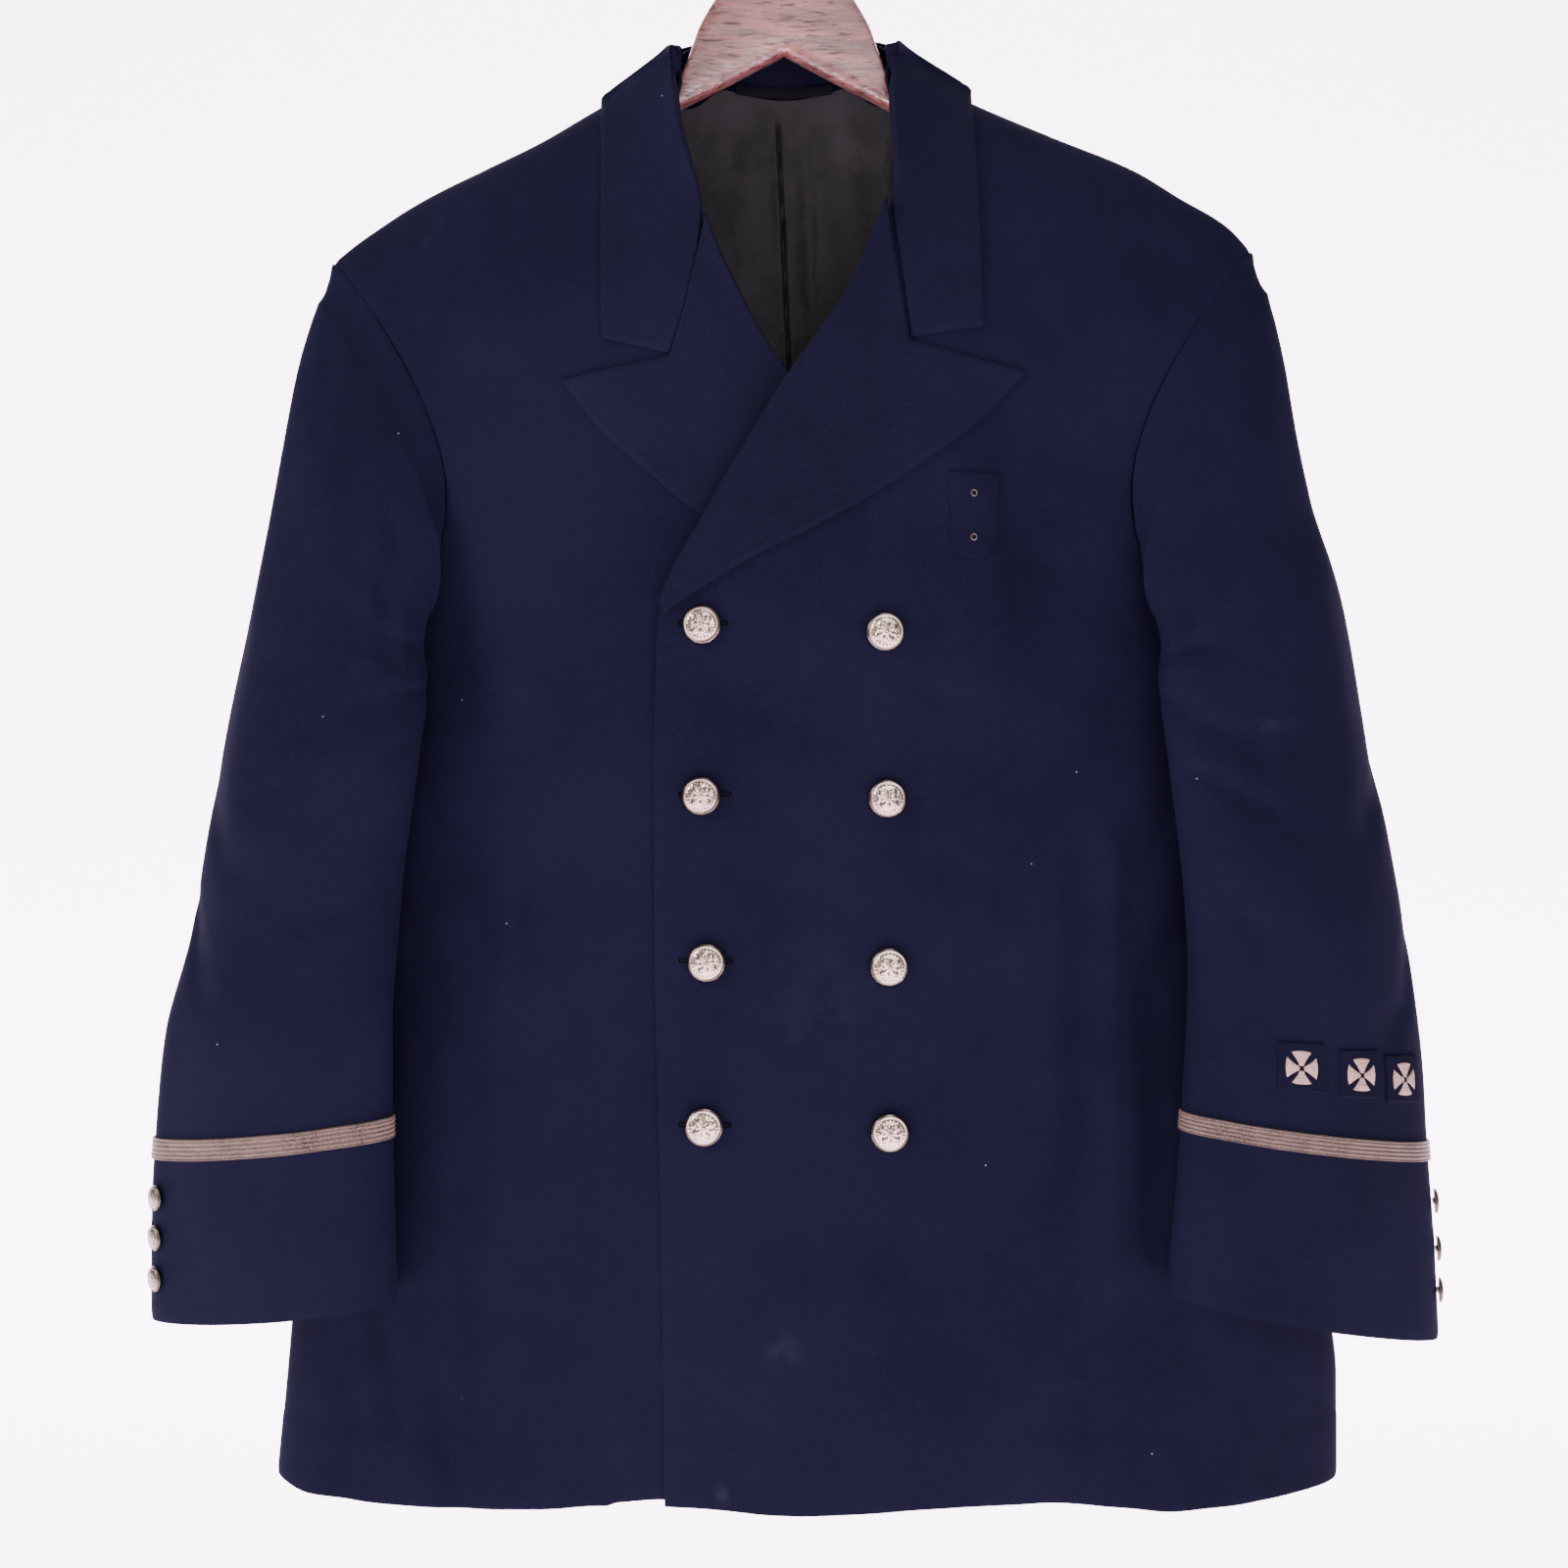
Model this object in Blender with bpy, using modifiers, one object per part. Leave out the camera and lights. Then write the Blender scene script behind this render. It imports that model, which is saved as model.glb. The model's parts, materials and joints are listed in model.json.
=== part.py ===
"""A fire service dress jacket of navy wool, buttoned and hung on a wooden hanger.

Every size is in millimetres, and MM turns it into metres where a mesh is made. X runs to the viewer's right,
the front faces -Y, Z points up, and the origin is the inner top of the hanger's hook. "down" is the distance
below that point. Left and right are the viewer's, seen from the front.
"""

import bmesh
import bpy
import numpy as np
from mathutils import Vector

MM = 0.001
LEFT, RIGHT = -1, 1
FRONT, BACK = -1, 1

# Cloth
CLOTH = 2.0
LINING_CLOTH = 1.2
FOLDED_CLOTH = 2.2
TRIM_CLOTH = 0.9
SEAM = 0.3
REST = 0.4
BRAID_REST = 0.7
LAYER = 3.0

# Body
NECK_POINT = 75
BACK_NECK_DOWN = 133
CENTRE_BACK_X = 3
UNDERARM_DOWN = 470
UNDER_HEM_DOWN = 985
BACK_HEM_DOWN = 990
RIDGE_ROUND = {FRONT: 140, BACK: 70}
ARMHOLE_ROWS = 10
YOKE_CROWDING = 1.3

# Buttons
FRONT_BUTTON = 22.5
CUFF_BUTTON = 14.8

# Trim
BRAID_WIDTH = 12.5
PATCH = 28
CROSS = 19
CROSS_WAIST = 2.6
CROSS_FLARE = 7.0

# Hanger
WOOD_THICK = 14
WOOD_UNDER_RIDGE = 5.0
WOOD_ARM = 250
WOOD_PEAK_DOWN = 58
HOOK_INNER_RADIUS = 18
HOOK_WIRE = 3.6


def table(columns, *rows):
    """Sizes in rows under named columns, as a dictionary of arrays."""
    return dict(zip(columns.split(), np.array(rows, float).T))


# Half widths to each side and depths in front and behind, over the body's length
BODY = table(
    "down left right front back",
    (100, 305, 318, 46, 34),
    (300, 300, 314, 56, 40),
    (400, 284, 297, 60, 43),
    (440, 272, 284, 60, 44),
    (472, 264, 276, 60, 44),
    (560, 268, 284, 59, 45),
    (700, 282, 302, 57, 46),
    (850, 299, 327, 57, 47),
    (930, 306, 340, 57, 48),
    (995, 312, 340, 58, 48),
)

# Top of the shoulders, where the front meets the back
RIDGE = table(
    "x down",
    (-300, 275),
    (-278, 247),
    (-243, 221),
    (-218, 206),
    (-181, 188),
    (-150, 173),
    (-112, 151),
    (-75, 131),
    (0, 105),
    (75, 129),
    (116, 149),
    (164, 169),
    (214, 189),
    (243, 206),
    (272, 223),
    (289, 241),
    (300, 256),
)

HEM = table(
    "x down",
    (-312, 989),
    (-285, 995),
    (-200, 995),
    (-150, 993),
    (-70, 988),
    (20, 993),
    (79, 990),
    (152, 989),
    (234, 998),
    (285, 996),
    (340, 991),
)

# Front edges: the roll of the lapel down to the break, then the buttoned edge
UNDER_EDGE = table(
    "down x",
    (131, -72),
    (161, -66),
    (183, -62.5),
    (236, -46.5),
    (286, -24),
    (330, 3),
    (385, 38),
    (440, 70),
    (468, 82),
    (560, 84),
    (995, 84),
)
OVER_EDGE = table(
    "down x",
    (129, 72),
    (165, 66),
    (207, 66),
    (236, 56),
    (281, 37.5),
    (303, 23),
    (331, 3),
    (361, -16),
    (385, -30.5),
    (414, -47.5),
    (445, -64.6),
    (467, -73),
    (560, -76),
    (636, -76),
    (829, -72),
    (995, -69.5),
)

# Largest folds: troughs that run from a top to a bottom, with their half width and depth
FRONT_FOLDS = table(
    "x_top x_bottom top bottom width depth",
    (-178, -188, 540, 1020, 12, 7),
    (-138, -150, 480, 800, 13, 4),
    (-112, -118, 840, 1020, 14, 4),
    (86, 92, 380, 540, 15, 3),
    (182, 174, 590, 960, 13, 7),
    (228, 208, 660, 1020, 14, 9),
)
BACK_FOLDS = table(
    "x_top x_bottom top bottom width depth",
    (-122, -136, 400, 1020, 24, 5),
    (62, 74, 360, 1020, 26, 4),
    (172, 192, 480, 1020, 22, 6),
)

# Sleeves: the outer and inner edge of each ring from armhole to cuff, the depth before and behind the line
# between them, and how far the ring bows to the middle of the body
SLEEVES = {
    LEFT: table(
        "ring outer_x outer_y outer_down inner_x inner_y inner_down front back bow",
        (0, -278, 0, 247, -264, 0, 470, 42, 32, 64),
        (1, -286, -4, 272, -212, -46, 470, 24, 32, 27),
        (2, -293, -9, 305, -211, -53, 484, 27, 26, 14),
        (3, -301, -14, 350, -209, -58, 494, 30, 22, 6),
        (4, -309, -19, 402, -207, -62, 505, 31, 20, 2),
        (5, -320, -24, 462, -207, -64, 520, 31, 22, 0),
        (6, -336, -27, 543, -211, -64, 550, 31, 24, 0),
        (7, -347, -29, 609, -220, -62, 610, 31, 26, 0),
        (8, -354, -29, 655, -225, -61, 660, 31, 27, 0),
        (9, -370, -28, 716, -228, -60, 712, 31, 28, 0),
        (10, -377, -26, 777, -228, -58, 759, 31, 28, 0),
        (11, -380, -25, 830, -227, -58, 815, 31, 28, 0),
        (12, -380, -24, 887, -226, -57, 868, 31, 28, 0),
    ),
    RIGHT: table(
        "ring outer_x outer_y outer_down inner_x inner_y inner_down front back bow",
        (0, 288, 0, 240, 274, 0, 472, 42, 32, 68),
        (1, 297, -4, 266, 222, -46, 472, 24, 32, 28),
        (2, 302, -9, 300, 221, -53, 486, 27, 26, 15),
        (3, 308, -14, 345, 219, -58, 496, 30, 22, 6),
        (4, 316, -19, 395, 217, -62, 506, 31, 20, 2),
        (5, 334, -24, 452, 218, -64, 520, 31, 22, 0),
        (6, 350, -27, 543, 222, -64, 550, 31, 24, 0),
        (7, 362, -29, 600, 229, -62, 600, 31, 26, 0),
        (8, 374, -29, 671, 235, -61, 670, 31, 27, 0),
        (9, 382, -28, 729, 234, -60, 718, 31, 28, 0),
        (10, 386, -26, 779, 232, -58, 756, 31, 28, 0),
        (11, 390, -25, 835, 228, -58, 812, 31, 28, 0),
        (12, 393, -24, 899, 223, -57, 864, 31, 28, 0),
    ),
}

# The line below the foot of the armhole, where the sleeve turns from the body's front to hang clear of it
FOOT_LINE = {
    LEFT: table(
        "ring x y down",
        (1, -264, -14, 480),
        (2, -264, -16, 498),
        (3, -262, -19.5, 515),
        (4, -259, -24, 535),
        (5, -253, -29, 559),
        (6, -246, -34, 590),
        (7, -242, -37, 628),
        (8, -240, -38, 668),
    ),
    RIGHT: table(
        "ring x y down",
        (1, 276, -14, 482),
        (2, 275, -16, 500),
        (3, 273, -19.5, 517),
        (4, 270, -24, 537),
        (5, 264, -29, 560),
        (6, 256, -34, 590),
        (7, 251, -37, 625),
        (8, 248, -38, 672),
    ),
}
FOOT_FADE_START, FOOT_FADE = 5, 4
SLEEVE_RINGS = (0, 0.5, 1, 1.6, 2.2, 3, 4, 5, 6, 7, 8, 8.6, 9.3, 10, 11, 12)
BRAID_RING = 10
HIND_CORNER, FORE_CORNER = -4, 8
HIND_SEAM = table("ring turn", (0, -0.11), (1, -0.11), (3, -0.08), (7, 0.0), (12, 0.03))
FORE_SEAM = table("ring turn", (0, 0.50), (1, 0.50), (3, 0.51), (7, 0.52), (12, 0.53))
FOOT_TURN = table("ring turn", (0, 0.72), (1, 0.72), (3, 0.70), (6, 0.64), (12, 0.62))
SLEEVE_CLEARANCE = 7.5
SEAM_LAP = 0.75
BACK_BOW = 0.7

# Collar, from the centre back to the notch: the fold above, then the gorge seam, and the outer edge
COLLAR = {
    LEFT: table(
        "along fold_x fold_y fold_down edge_x edge_y edge_down",
        (0.00, 0, 31, 97, 0, 36, 147),
        (0.14, -38, 27, 99, -55, 32, 149),
        (0.25, -60, 14, 107, -92, 19, 150),
        (0.34, -69, -4, 120, -112, 0, 146),
        (0.44, -68, -22, 142, -111, -20, 165),
        (0.55, -64.5, -30, 170, -109, -20, 195),
        (0.65, -60, -30, 190, -108.5, -20, 222),
        (0.78, -49.5, -30, 233, -108, -20, 255),
        (0.90, -60.5, -30, 290, -107.5, -20, 285),
        (1.00, -68.5, -30, 315, -107, -20, 306),
    ),
    RIGHT: table(
        "along fold_x fold_y fold_down edge_x edge_y edge_down",
        (0.00, 0, 31, 97, 0, 36, 147),
        (0.14, 38, 27, 98, 57, 32, 148),
        (0.25, 60, 14, 105, 94, 19, 148),
        (0.34, 69, -4, 118, 115, -3, 141),
        (0.44, 67.5, -22, 140, 114, -20, 165),
        (0.55, 66, -30, 168, 114.5, -20, 195),
        (0.65, 67, -30, 195, 115, -20, 222),
        (0.78, 65, -30, 224, 115.5, -20, 250),
        (0.90, 70.5, -30, 264, 116, -20, 278),
        (1.00, 75.5, -30, 307, 116.5, -20, 299),
    ),
}
COLLAR_FOLD_LIFT = 6.0
STAND_INSET = 4.4
STAND = table(
    "along seam_share seam_y seam_down",
    (0.00, 0, 25, 131.5),
    (0.07, 20, 24.5, 129.5),
    (0.14, 38, 22, 126.5),
    (0.25, 61, 11, 124.5),
    (0.34, 69, -1, 122.5),
    (0.38, 68.5, -8, 124),
    (0.41, 67, -12, 138),
    (0.44, 65, -15, 150),
)

# Lapels: the outer edge from the peak to the break, and the gorge from the roll through the notch to the peak
LAPEL_EDGE = {
    "under": table(
        "along x down",
        (0.00, -131, 330),
        (0.17, -108, 359.5),
        (0.33, -84, 381),
        (0.55, -48, 411),
        (0.78, 12, 441),
        (1.00, 76, 469),
    ),
    "over": table(
        "along x down",
        (0.00, 143, 325),
        (0.13, 109, 359.5),
        (0.25, 80, 380.6),
        (0.38, 48.5, 401),
        (0.53, 14, 420),
        (0.68, -19, 436),
        (0.83, -46, 452.5),
        (1.00, -69, 468),
    ),
}
LAPEL_GORGE = {
    "under": table("share x down", (0, -46.5, 236), (0.32, -59, 291), (0.5, -67, 317), (1, -131, 330)),
    "over": table("share x down", (0, 63.5, 227), (0.25, 69, 266), (0.5, 74.5, 309.5), (1, 143, 325)),
}
LAPEL_ROLL = 7.0
LAPEL_ROLL_REACH = 9.0

# Front buttons in rows of two, and the cuff buttons down each outer edge
FRONT_BUTTONS = table(
    "row left right down_left down_right",
    (1, -47.5, 58.5, 475, 479),
    (2, -48, 60, 574, 575.5),
    (3, -45, 61, 671, 673.5),
    (4, -46.5, 61.5, 766.5, 770),
)
CUFF_BUTTON_DOWNS = {LEFT: (812, 836, 860), RIGHT: (817, 845, 870)}
CUFF_BUTTON_TURN = {LEFT: 0.075, RIGHT: 0.02}

SERVICE_PATCHES = table("number x down", (1, 296, 729), (2, 333, 735), (3, 363, 740))
BADGE_TAB = {"left": 96.5, "right": 125, "top": 385, "bottom": 435}
LOOP = {"half": 30, "top": 128.5, "bottom": 134.5, "y": 22.0}


def smooth(share):
    """Goes softly from 0 to 1."""
    share = np.clip(share, 0, 1)
    return share * share * (3 - 2 * share)


def mix(first, last, share):
    return first + (last - first) * share


def read(sizes, column, place):
    """The column's size at each place along the first column, on a smooth curve that never overshoots."""
    along = next(iter(sizes.values()))
    values = sizes[column]
    step = np.diff(along)
    rise = np.diff(values) / step
    product = rise[:-1] * rise[1:]
    total = np.where(product > 0, rise[:-1] + rise[1:], 1)
    inner = np.where(product > 0, 2 * product / total, 0)
    slope = np.concatenate([rise[:1], inner, rise[-1:]])
    place = np.clip(place, along[0], along[-1])
    i = np.clip(np.searchsorted(along, place, side="right") - 1, 0, len(step) - 1)
    t = (place - along[i]) / step[i]
    start = values[i] * (1 + 2 * t) * (1 - t) ** 2 + slope[i] * step[i] * t * (1 - t) ** 2
    end = values[i + 1] * t * t * (3 - 2 * t) + slope[i + 1] * step[i] * t * t * (t - 1)
    return start + end


def points(x, y, down):
    return np.stack(np.broadcast_arrays(x, y, -np.asarray(down, float)), axis=-1)


def folds(x, down, face):
    """How far the largest folds sink at a place."""
    rows = FRONT_FOLDS if face == FRONT else BACK_FOLDS
    total = 0 * x
    for x_top, x_bottom, top, bottom, width, depth in zip(*rows.values()):
        share = np.clip((down - top) / (bottom - top), 0, 1)
        middle = mix(x_top, x_bottom, share)
        total = total + depth * np.sin(np.pi * share) ** 0.7 * np.exp(-(((x - middle) / width) ** 2))
    return total


def half_width(x, down):
    return np.where(x < 0, read(BODY, "left", down), read(BODY, "right", down))


def body_y(x, down, face):
    """Depth of the body's cloth at a place seen from the front."""
    across = np.sqrt(np.clip(1 - (x / half_width(x, down)) ** 2, 0, 1))
    drop = np.clip((down - read(RIDGE, "down", x)) / RIDGE_ROUND[face], 0, 1)
    over = np.sqrt(1 - (1 - drop) ** 2)
    depth = read(BODY, "front" if face == FRONT else "back", down)
    return face * across * over * (depth - folds(x, down, face))


def front_y(x, down):
    return body_y(x, down, FRONT)


def back_y(x, down):
    return body_y(x, down, BACK)


def over_lift(x, down):
    """How far the over front stands off the under front and its lapel."""
    beside = 1 - smooth((x - 80) / 60)
    start = smooth((down - 240) / 70)
    return beside * start * mix(2 * LAYER, LAYER, smooth((down - 475) / 50))


def over_y(x, down):
    return front_y(x, down) - over_lift(x, down)


def outward(depth, x, down, face):
    """Unit normals, pointing out, of a cloth whose depth is a function of x and down."""
    step = 0.4
    room = half_width(x, down) - 2 * step
    x = np.clip(x, -room, room)
    down = np.maximum(down, read(RIDGE, "down", x) + 2 * step)
    slope_x = (depth(x + step, down) - depth(x - step, down)) / (2 * step)
    slope_down = (depth(x, down + step) - depth(x, down - step)) / (2 * step)
    normal = np.stack([-face * slope_x, face + 0 * slope_x, face * slope_down], axis=-1)
    return normal / np.linalg.norm(normal, axis=-1, keepdims=True)


def panel_normals(depth, x, down, side, face):
    """Unit normals of a body panel: its top and side edges take the direction that its neighbour shares."""
    normal = outward(depth, x, down, face)
    below_arm = down[:, 0] > UNDERARM_DOWN + 1
    normal[below_arm, 0] = (side, 0, 0)
    rise = read(RIDGE, "down", x[0] + 1) - read(RIDGE, "down", x[0] - 1)
    ridge = np.stack([rise / 2, 0 * rise, 1 + 0 * rise], axis=-1)
    on_ridge = np.abs(x[0]) > NECK_POINT - 10
    normal[0, on_ridge] = (ridge / np.linalg.norm(ridge, axis=-1, keepdims=True))[on_ridge]
    return normal


def armhole(side, face, turn):
    """x and down round the armhole seam: turn is 0 at the shoulder point and 1 under the arm."""
    place = sleeve_line(side, 0 * turn, (0.5 if face == FRONT else -0.5) * turn)
    return place[..., 0], -place[..., 2]


def top_line(x, face):
    """The shoulder seam and, behind, the back of the neck."""
    ridge = read(RIDGE, "down", x)
    if face == FRONT:
        return ridge
    neck = BACK_NECK_DOWN - read(RIDGE, "down", np.array(0.0))
    return ridge + neck * smooth(1 - np.abs(x) / NECK_POINT)


def panel(side, face, inner_edge, inner_top, hem, rows, columns):
    """x and down over a body panel: rows run from shoulder to hem, columns from the side to the inner edge.

    The rows beside the armhole start at its own corners, and "rows" counts those below it.
    """
    high = np.concatenate([np.linspace(0, 1, ARMHOLE_ROWS + 1), np.ones(rows)])
    low = np.concatenate([np.zeros(ARMHOLE_ROWS), np.linspace(0, 1, rows + 1)])
    crowded = high**YOKE_CROWDING
    seam_x, seam_down = armhole(side, face, crowded)
    seam_down = mix(seam_down, hem(np.array(side * 330.0)), low)
    seam_x = np.where(low > 0, side * half_width(side * np.ones_like(low), seam_down), seam_x)
    inner_down = mix(inner_top, UNDERARM_DOWN, 1 - np.cos(np.pi / 2 * crowded))
    inner_down = mix(inner_down, hem(inner_edge(inner_down)), low)
    inner_x = inner_edge(inner_down)

    share = np.linspace(0, 1, columns + 1)[None, :]
    start = np.arcsin(np.clip(seam_x / half_width(seam_x, seam_down), -1, 1))[:, None]
    end = np.arcsin(inner_x / half_width(inner_x, inner_down))[:, None]
    down = mix(seam_down[:, None], inner_down[:, None], share)
    angle = mix(start, end, share)
    x = np.sin(angle) * half_width(np.sin(angle), down)
    chord = mix(top_line(seam_x, face)[:, None], top_line(inner_x, face)[:, None], share)
    down = down + (1 - high[:, None]) ** 2 * (top_line(x, face) - chord)
    bottom = mix(hem(np.array(side * 330.0)), hem(inner_edge(np.array(UNDER_HEM_DOWN * 1.0))), share)
    return x, down + low[:, None] ** 4 * (hem(x) - bottom)


def pulled_in(grid, rows=(0, 0), columns=(0, 0)):
    """Draws the edges of a grid of points back by a seam's gap: rows (first, last) and columns (first, last)."""
    grid = grid.copy()
    for axis, (first, last) in enumerate((rows, columns)):
        lines = np.moveaxis(grid, axis, 0)
        for edge, beside, gap in ((0, 1, first), (-1, -2, last)):
            toward = lines[beside] - lines[edge]
            length = np.linalg.norm(toward, axis=-1, keepdims=True)
            lines[edge] += toward / np.maximum(length, 1e-6) * gap
    return grid


def normals_away(grid, centre):
    """Unit normals of a grid of points, pointing away from a centre."""
    normal = np.cross(np.gradient(grid, axis=0), np.gradient(grid, axis=1))
    normal /= np.linalg.norm(normal, axis=-1, keepdims=True)
    return normal * np.sign((normal * (grid - np.array(centre, float))).sum())


def sleeve_line(side, ring, turn):
    """Points of a sleeve before it is laid on the body: turn goes once round from the outer edge by the front."""
    sizes = SLEEVES[side]
    angle = 2 * np.pi * turn
    outer = points(*(read(sizes, "outer_" + axis, ring) for axis in ("x", "y", "down")))
    inner = points(*(read(sizes, "inner_" + axis, ring) for axis in ("x", "y", "down")))
    place = (outer + inner) / 2 + (outer - inner) / 2 * np.cos(angle)[..., None]
    front = np.sin(angle) > 0
    bow = read(sizes, "bow", ring) * np.where(front, 1, mix(BACK_BOW, 0.1, smooth(ring)))
    place[..., 0] -= side * bow * np.abs(np.sin(angle)) ** 1.4 * (1 - 0.5 * np.cos(angle))
    depth = np.where(front, read(sizes, "front", ring), read(sizes, "back", ring))
    place[..., 1] -= depth * np.sin(angle)
    return place


def sleeve_turns(ring, first, last):
    """Turns of the cloth that starts at the armhole's corners from first to last, at each ring."""
    knots = [read(HIND_SEAM, "turn", ring), read(FORE_SEAM, "turn", ring), read(FOOT_TURN, "turn", ring)]
    knots.append(knots[0] + 1)
    corners = (HIND_CORNER, FORE_CORNER, ARMHOLE_ROWS, HIND_CORNER + 2 * ARMHOLE_ROWS)
    places = np.arange(first, last + 1)
    return np.array([np.interp(places, corners, row) for row in np.array(knots)[..., 0].T])


def hung(side, ring, turn):
    """Points of a sleeve below its first ring, before it is kept clear of the body."""
    place = sleeve_line(side, ring, turn)
    fore, foot_turn, hind = (read(seam, "turn", ring) for seam in (FORE_SEAM, FOOT_TURN, HIND_SEAM))
    turn = (turn - hind) % 1 + hind
    near = np.where(turn < foot_turn, (turn - fore) / (foot_turn - fore), (hind + 1 - turn) / (hind + 1 - foot_turn))
    foot = points(*(read(FOOT_LINE[side], axis, ring) for axis in ("x", "y", "down")))
    away = foot - sleeve_line(side, ring, foot_turn)
    fade = 1 - smooth((ring - FOOT_FADE_START) / FOOT_FADE)
    return place + away * (smooth(near) * fade)[..., None]


def seam_turn(turn):
    """Where on the armhole seam the cloth at a turn of the sleeve starts."""
    around = 2 * ARMHOLE_ROWS
    hind, fore, foot = (seam["turn"][0] for seam in (HIND_SEAM, FORE_SEAM, FOOT_TURN))
    turn = (turn - hind) % 1 + hind
    corners = (HIND_CORNER, FORE_CORNER, ARMHOLE_ROWS, HIND_CORNER + around)
    corner = np.interp(turn, (hind, fore, foot, hind + 1), corners)
    corner = corner - around * (corner > ARMHOLE_ROWS)
    return np.sign(corner) * 0.5 * np.abs(corner / ARMHOLE_ROWS) ** YOKE_CROWDING


def sleeve(side, ring, turn):
    """Points of a sleeve, sewn to the armhole at ring 0 and lying just clear of the body below it."""
    ring, turn = np.broadcast_arrays(np.asarray(ring, float), np.asarray(turn, float))
    sewn_turn = seam_turn(turn)
    sewn = sleeve_line(side, 0 * ring, sewn_turn)
    x, down = sewn[..., 0], -sewn[..., 2]
    sewn[..., 1] = np.where(sewn_turn > 0, front_y(x, down), back_y(x, down))
    place = hung(side, np.maximum(ring, 1), turn)
    place = mix(sewn, place, np.minimum(ring, 1)[..., None])

    x, down = place[..., 0], -place[..., 2]
    width = half_width(x, down) + SLEEVE_CLEARANCE
    depth = np.where(place[..., 1] < 0, read(BODY, "front", down), read(BODY, "back", down)) + SLEEVE_CLEARANCE
    inside = np.minimum(np.hypot(x / width, place[..., 1] / depth), 1)
    lapped = SEAM_LAP * smooth((0.3 - np.cos(2 * np.pi * sewn_turn)) / 0.8)
    reach = armhole_reach(side, down, place[..., 1] > 0)
    on_panel = smooth((reach + 6 - np.abs(x)) / 6) * mix(lapped, 1, smooth(ring / 0.8))
    place[..., :2] *= mix(1, 1 / inside, on_panel)[..., None]
    return place


def armhole_reach(side, down, behind):
    """How far out the body's cloth reaches at a height beside the armhole, or below it."""
    sizes = SLEEVES[side]
    top, foot = sizes["outer_down"][0], sizes["inner_down"][0]
    level = np.clip(((top + foot) / 2 - down) / ((foot - top) / 2), -1, 1)
    middle = mix(abs(sizes["inner_x"][0]), abs(sizes["outer_x"][0]), (1 + level) / 2)
    bowed = sizes["bow"][0] * np.where(behind, BACK_BOW, 1) * (1 - level**2) ** 0.7 * (1 - 0.5 * level)
    return np.where(down > foot, 400, middle - bowed)


def sleeve_normal(side, ring, turn):
    """Unit normals of a sleeve, pointing out; at the armhole they are the body's own."""
    ring, turn = np.broadcast_arrays(np.asarray(ring, float), np.asarray(turn, float))
    last = SLEEVES[side]["ring"][-1]
    before, after = np.clip(ring - 0.05, 0, last), np.clip(ring + 0.05, 0, last)
    along = sleeve(side, after, turn) - sleeve(side, before, turn)
    around = sleeve(side, ring, turn + 0.004) - sleeve(side, ring, turn - 0.004)
    normal = np.cross(along, around) * -side
    normal /= np.linalg.norm(normal, axis=-1, keepdims=True)
    hind, foot_turn = read(HIND_SEAM, "turn", ring), read(FOOT_TURN, "turn", ring)
    beside = ((turn - hind) % 1 + hind - foot_turn) / 0.012
    creased = (np.exp(-(beside**2)) * (1 - smooth((ring - 2) / 3)) * smooth(ring * 2))[..., None]
    normal = mix(normal, np.array((0.3 * side, 0.95, 0)), creased)
    normal /= np.linalg.norm(normal, axis=-1, keepdims=True)
    place = sleeve(side, ring, turn)
    x, down = place[..., 0], -place[..., 2]
    sewn_turn = seam_turn(turn)
    body = np.where((sewn_turn > 0)[..., None], outward(front_y, x, down, FRONT), outward(back_y, x, down, BACK))
    under_arm = smooth((-np.cos(2 * np.pi * sewn_turn) - 0.55) / 0.35)[..., None]
    body = mix(body, normal, under_arm)
    body /= np.linalg.norm(body, axis=-1, keepdims=True)
    return np.where((ring < 0.01)[..., None], body, normal)


def on_sleeve(side, x, down):
    """The ring and turn at a place on the front of a sleeve, seen from the front."""
    rings, turns = np.meshgrid(np.linspace(5, 12, 281), np.linspace(0.01, 0.49, 193), indexing="ij")
    place = sleeve(side, rings, turns)
    nearest = np.argmin((place[..., 0] - x) ** 2 + (place[..., 2] + down) ** 2)
    return rings.flat[nearest], turns.flat[nearest]


def laid_on_sleeve(side, ring, turn, across, along, lift):
    """Points moved out from a sleeve, at distances across and along it from a place."""
    probe = 0.002
    middle = sleeve(side, ring, turn)
    per_turn = np.linalg.norm(sleeve(side, ring, turn + probe) - middle) / probe
    per_ring = np.linalg.norm(sleeve(side, ring + probe, turn) - middle) / probe
    rings = ring + np.asarray(along) / per_ring
    turns = turn - side * np.asarray(across) / per_turn
    return sleeve(side, rings, turns) + sleeve_normal(side, rings, turns) * lift


def new_material(name, colour, roughness, metallic=0.0):
    material = bpy.data.materials.new(name)
    material.use_nodes = True
    shader = material.node_tree.nodes["Principled BSDF"]
    shader.inputs["Base Color"].default_value = (*colour, 1)
    shader.inputs["Roughness"].default_value = roughness
    shader.inputs["Metallic"].default_value = metallic
    return material


def add_object(name, mesh, material):
    mesh.materials.append(material)
    piece = bpy.data.objects.new(name, mesh)
    bpy.data.collections[COLLECTION].objects.link(piece)
    return piece


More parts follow.
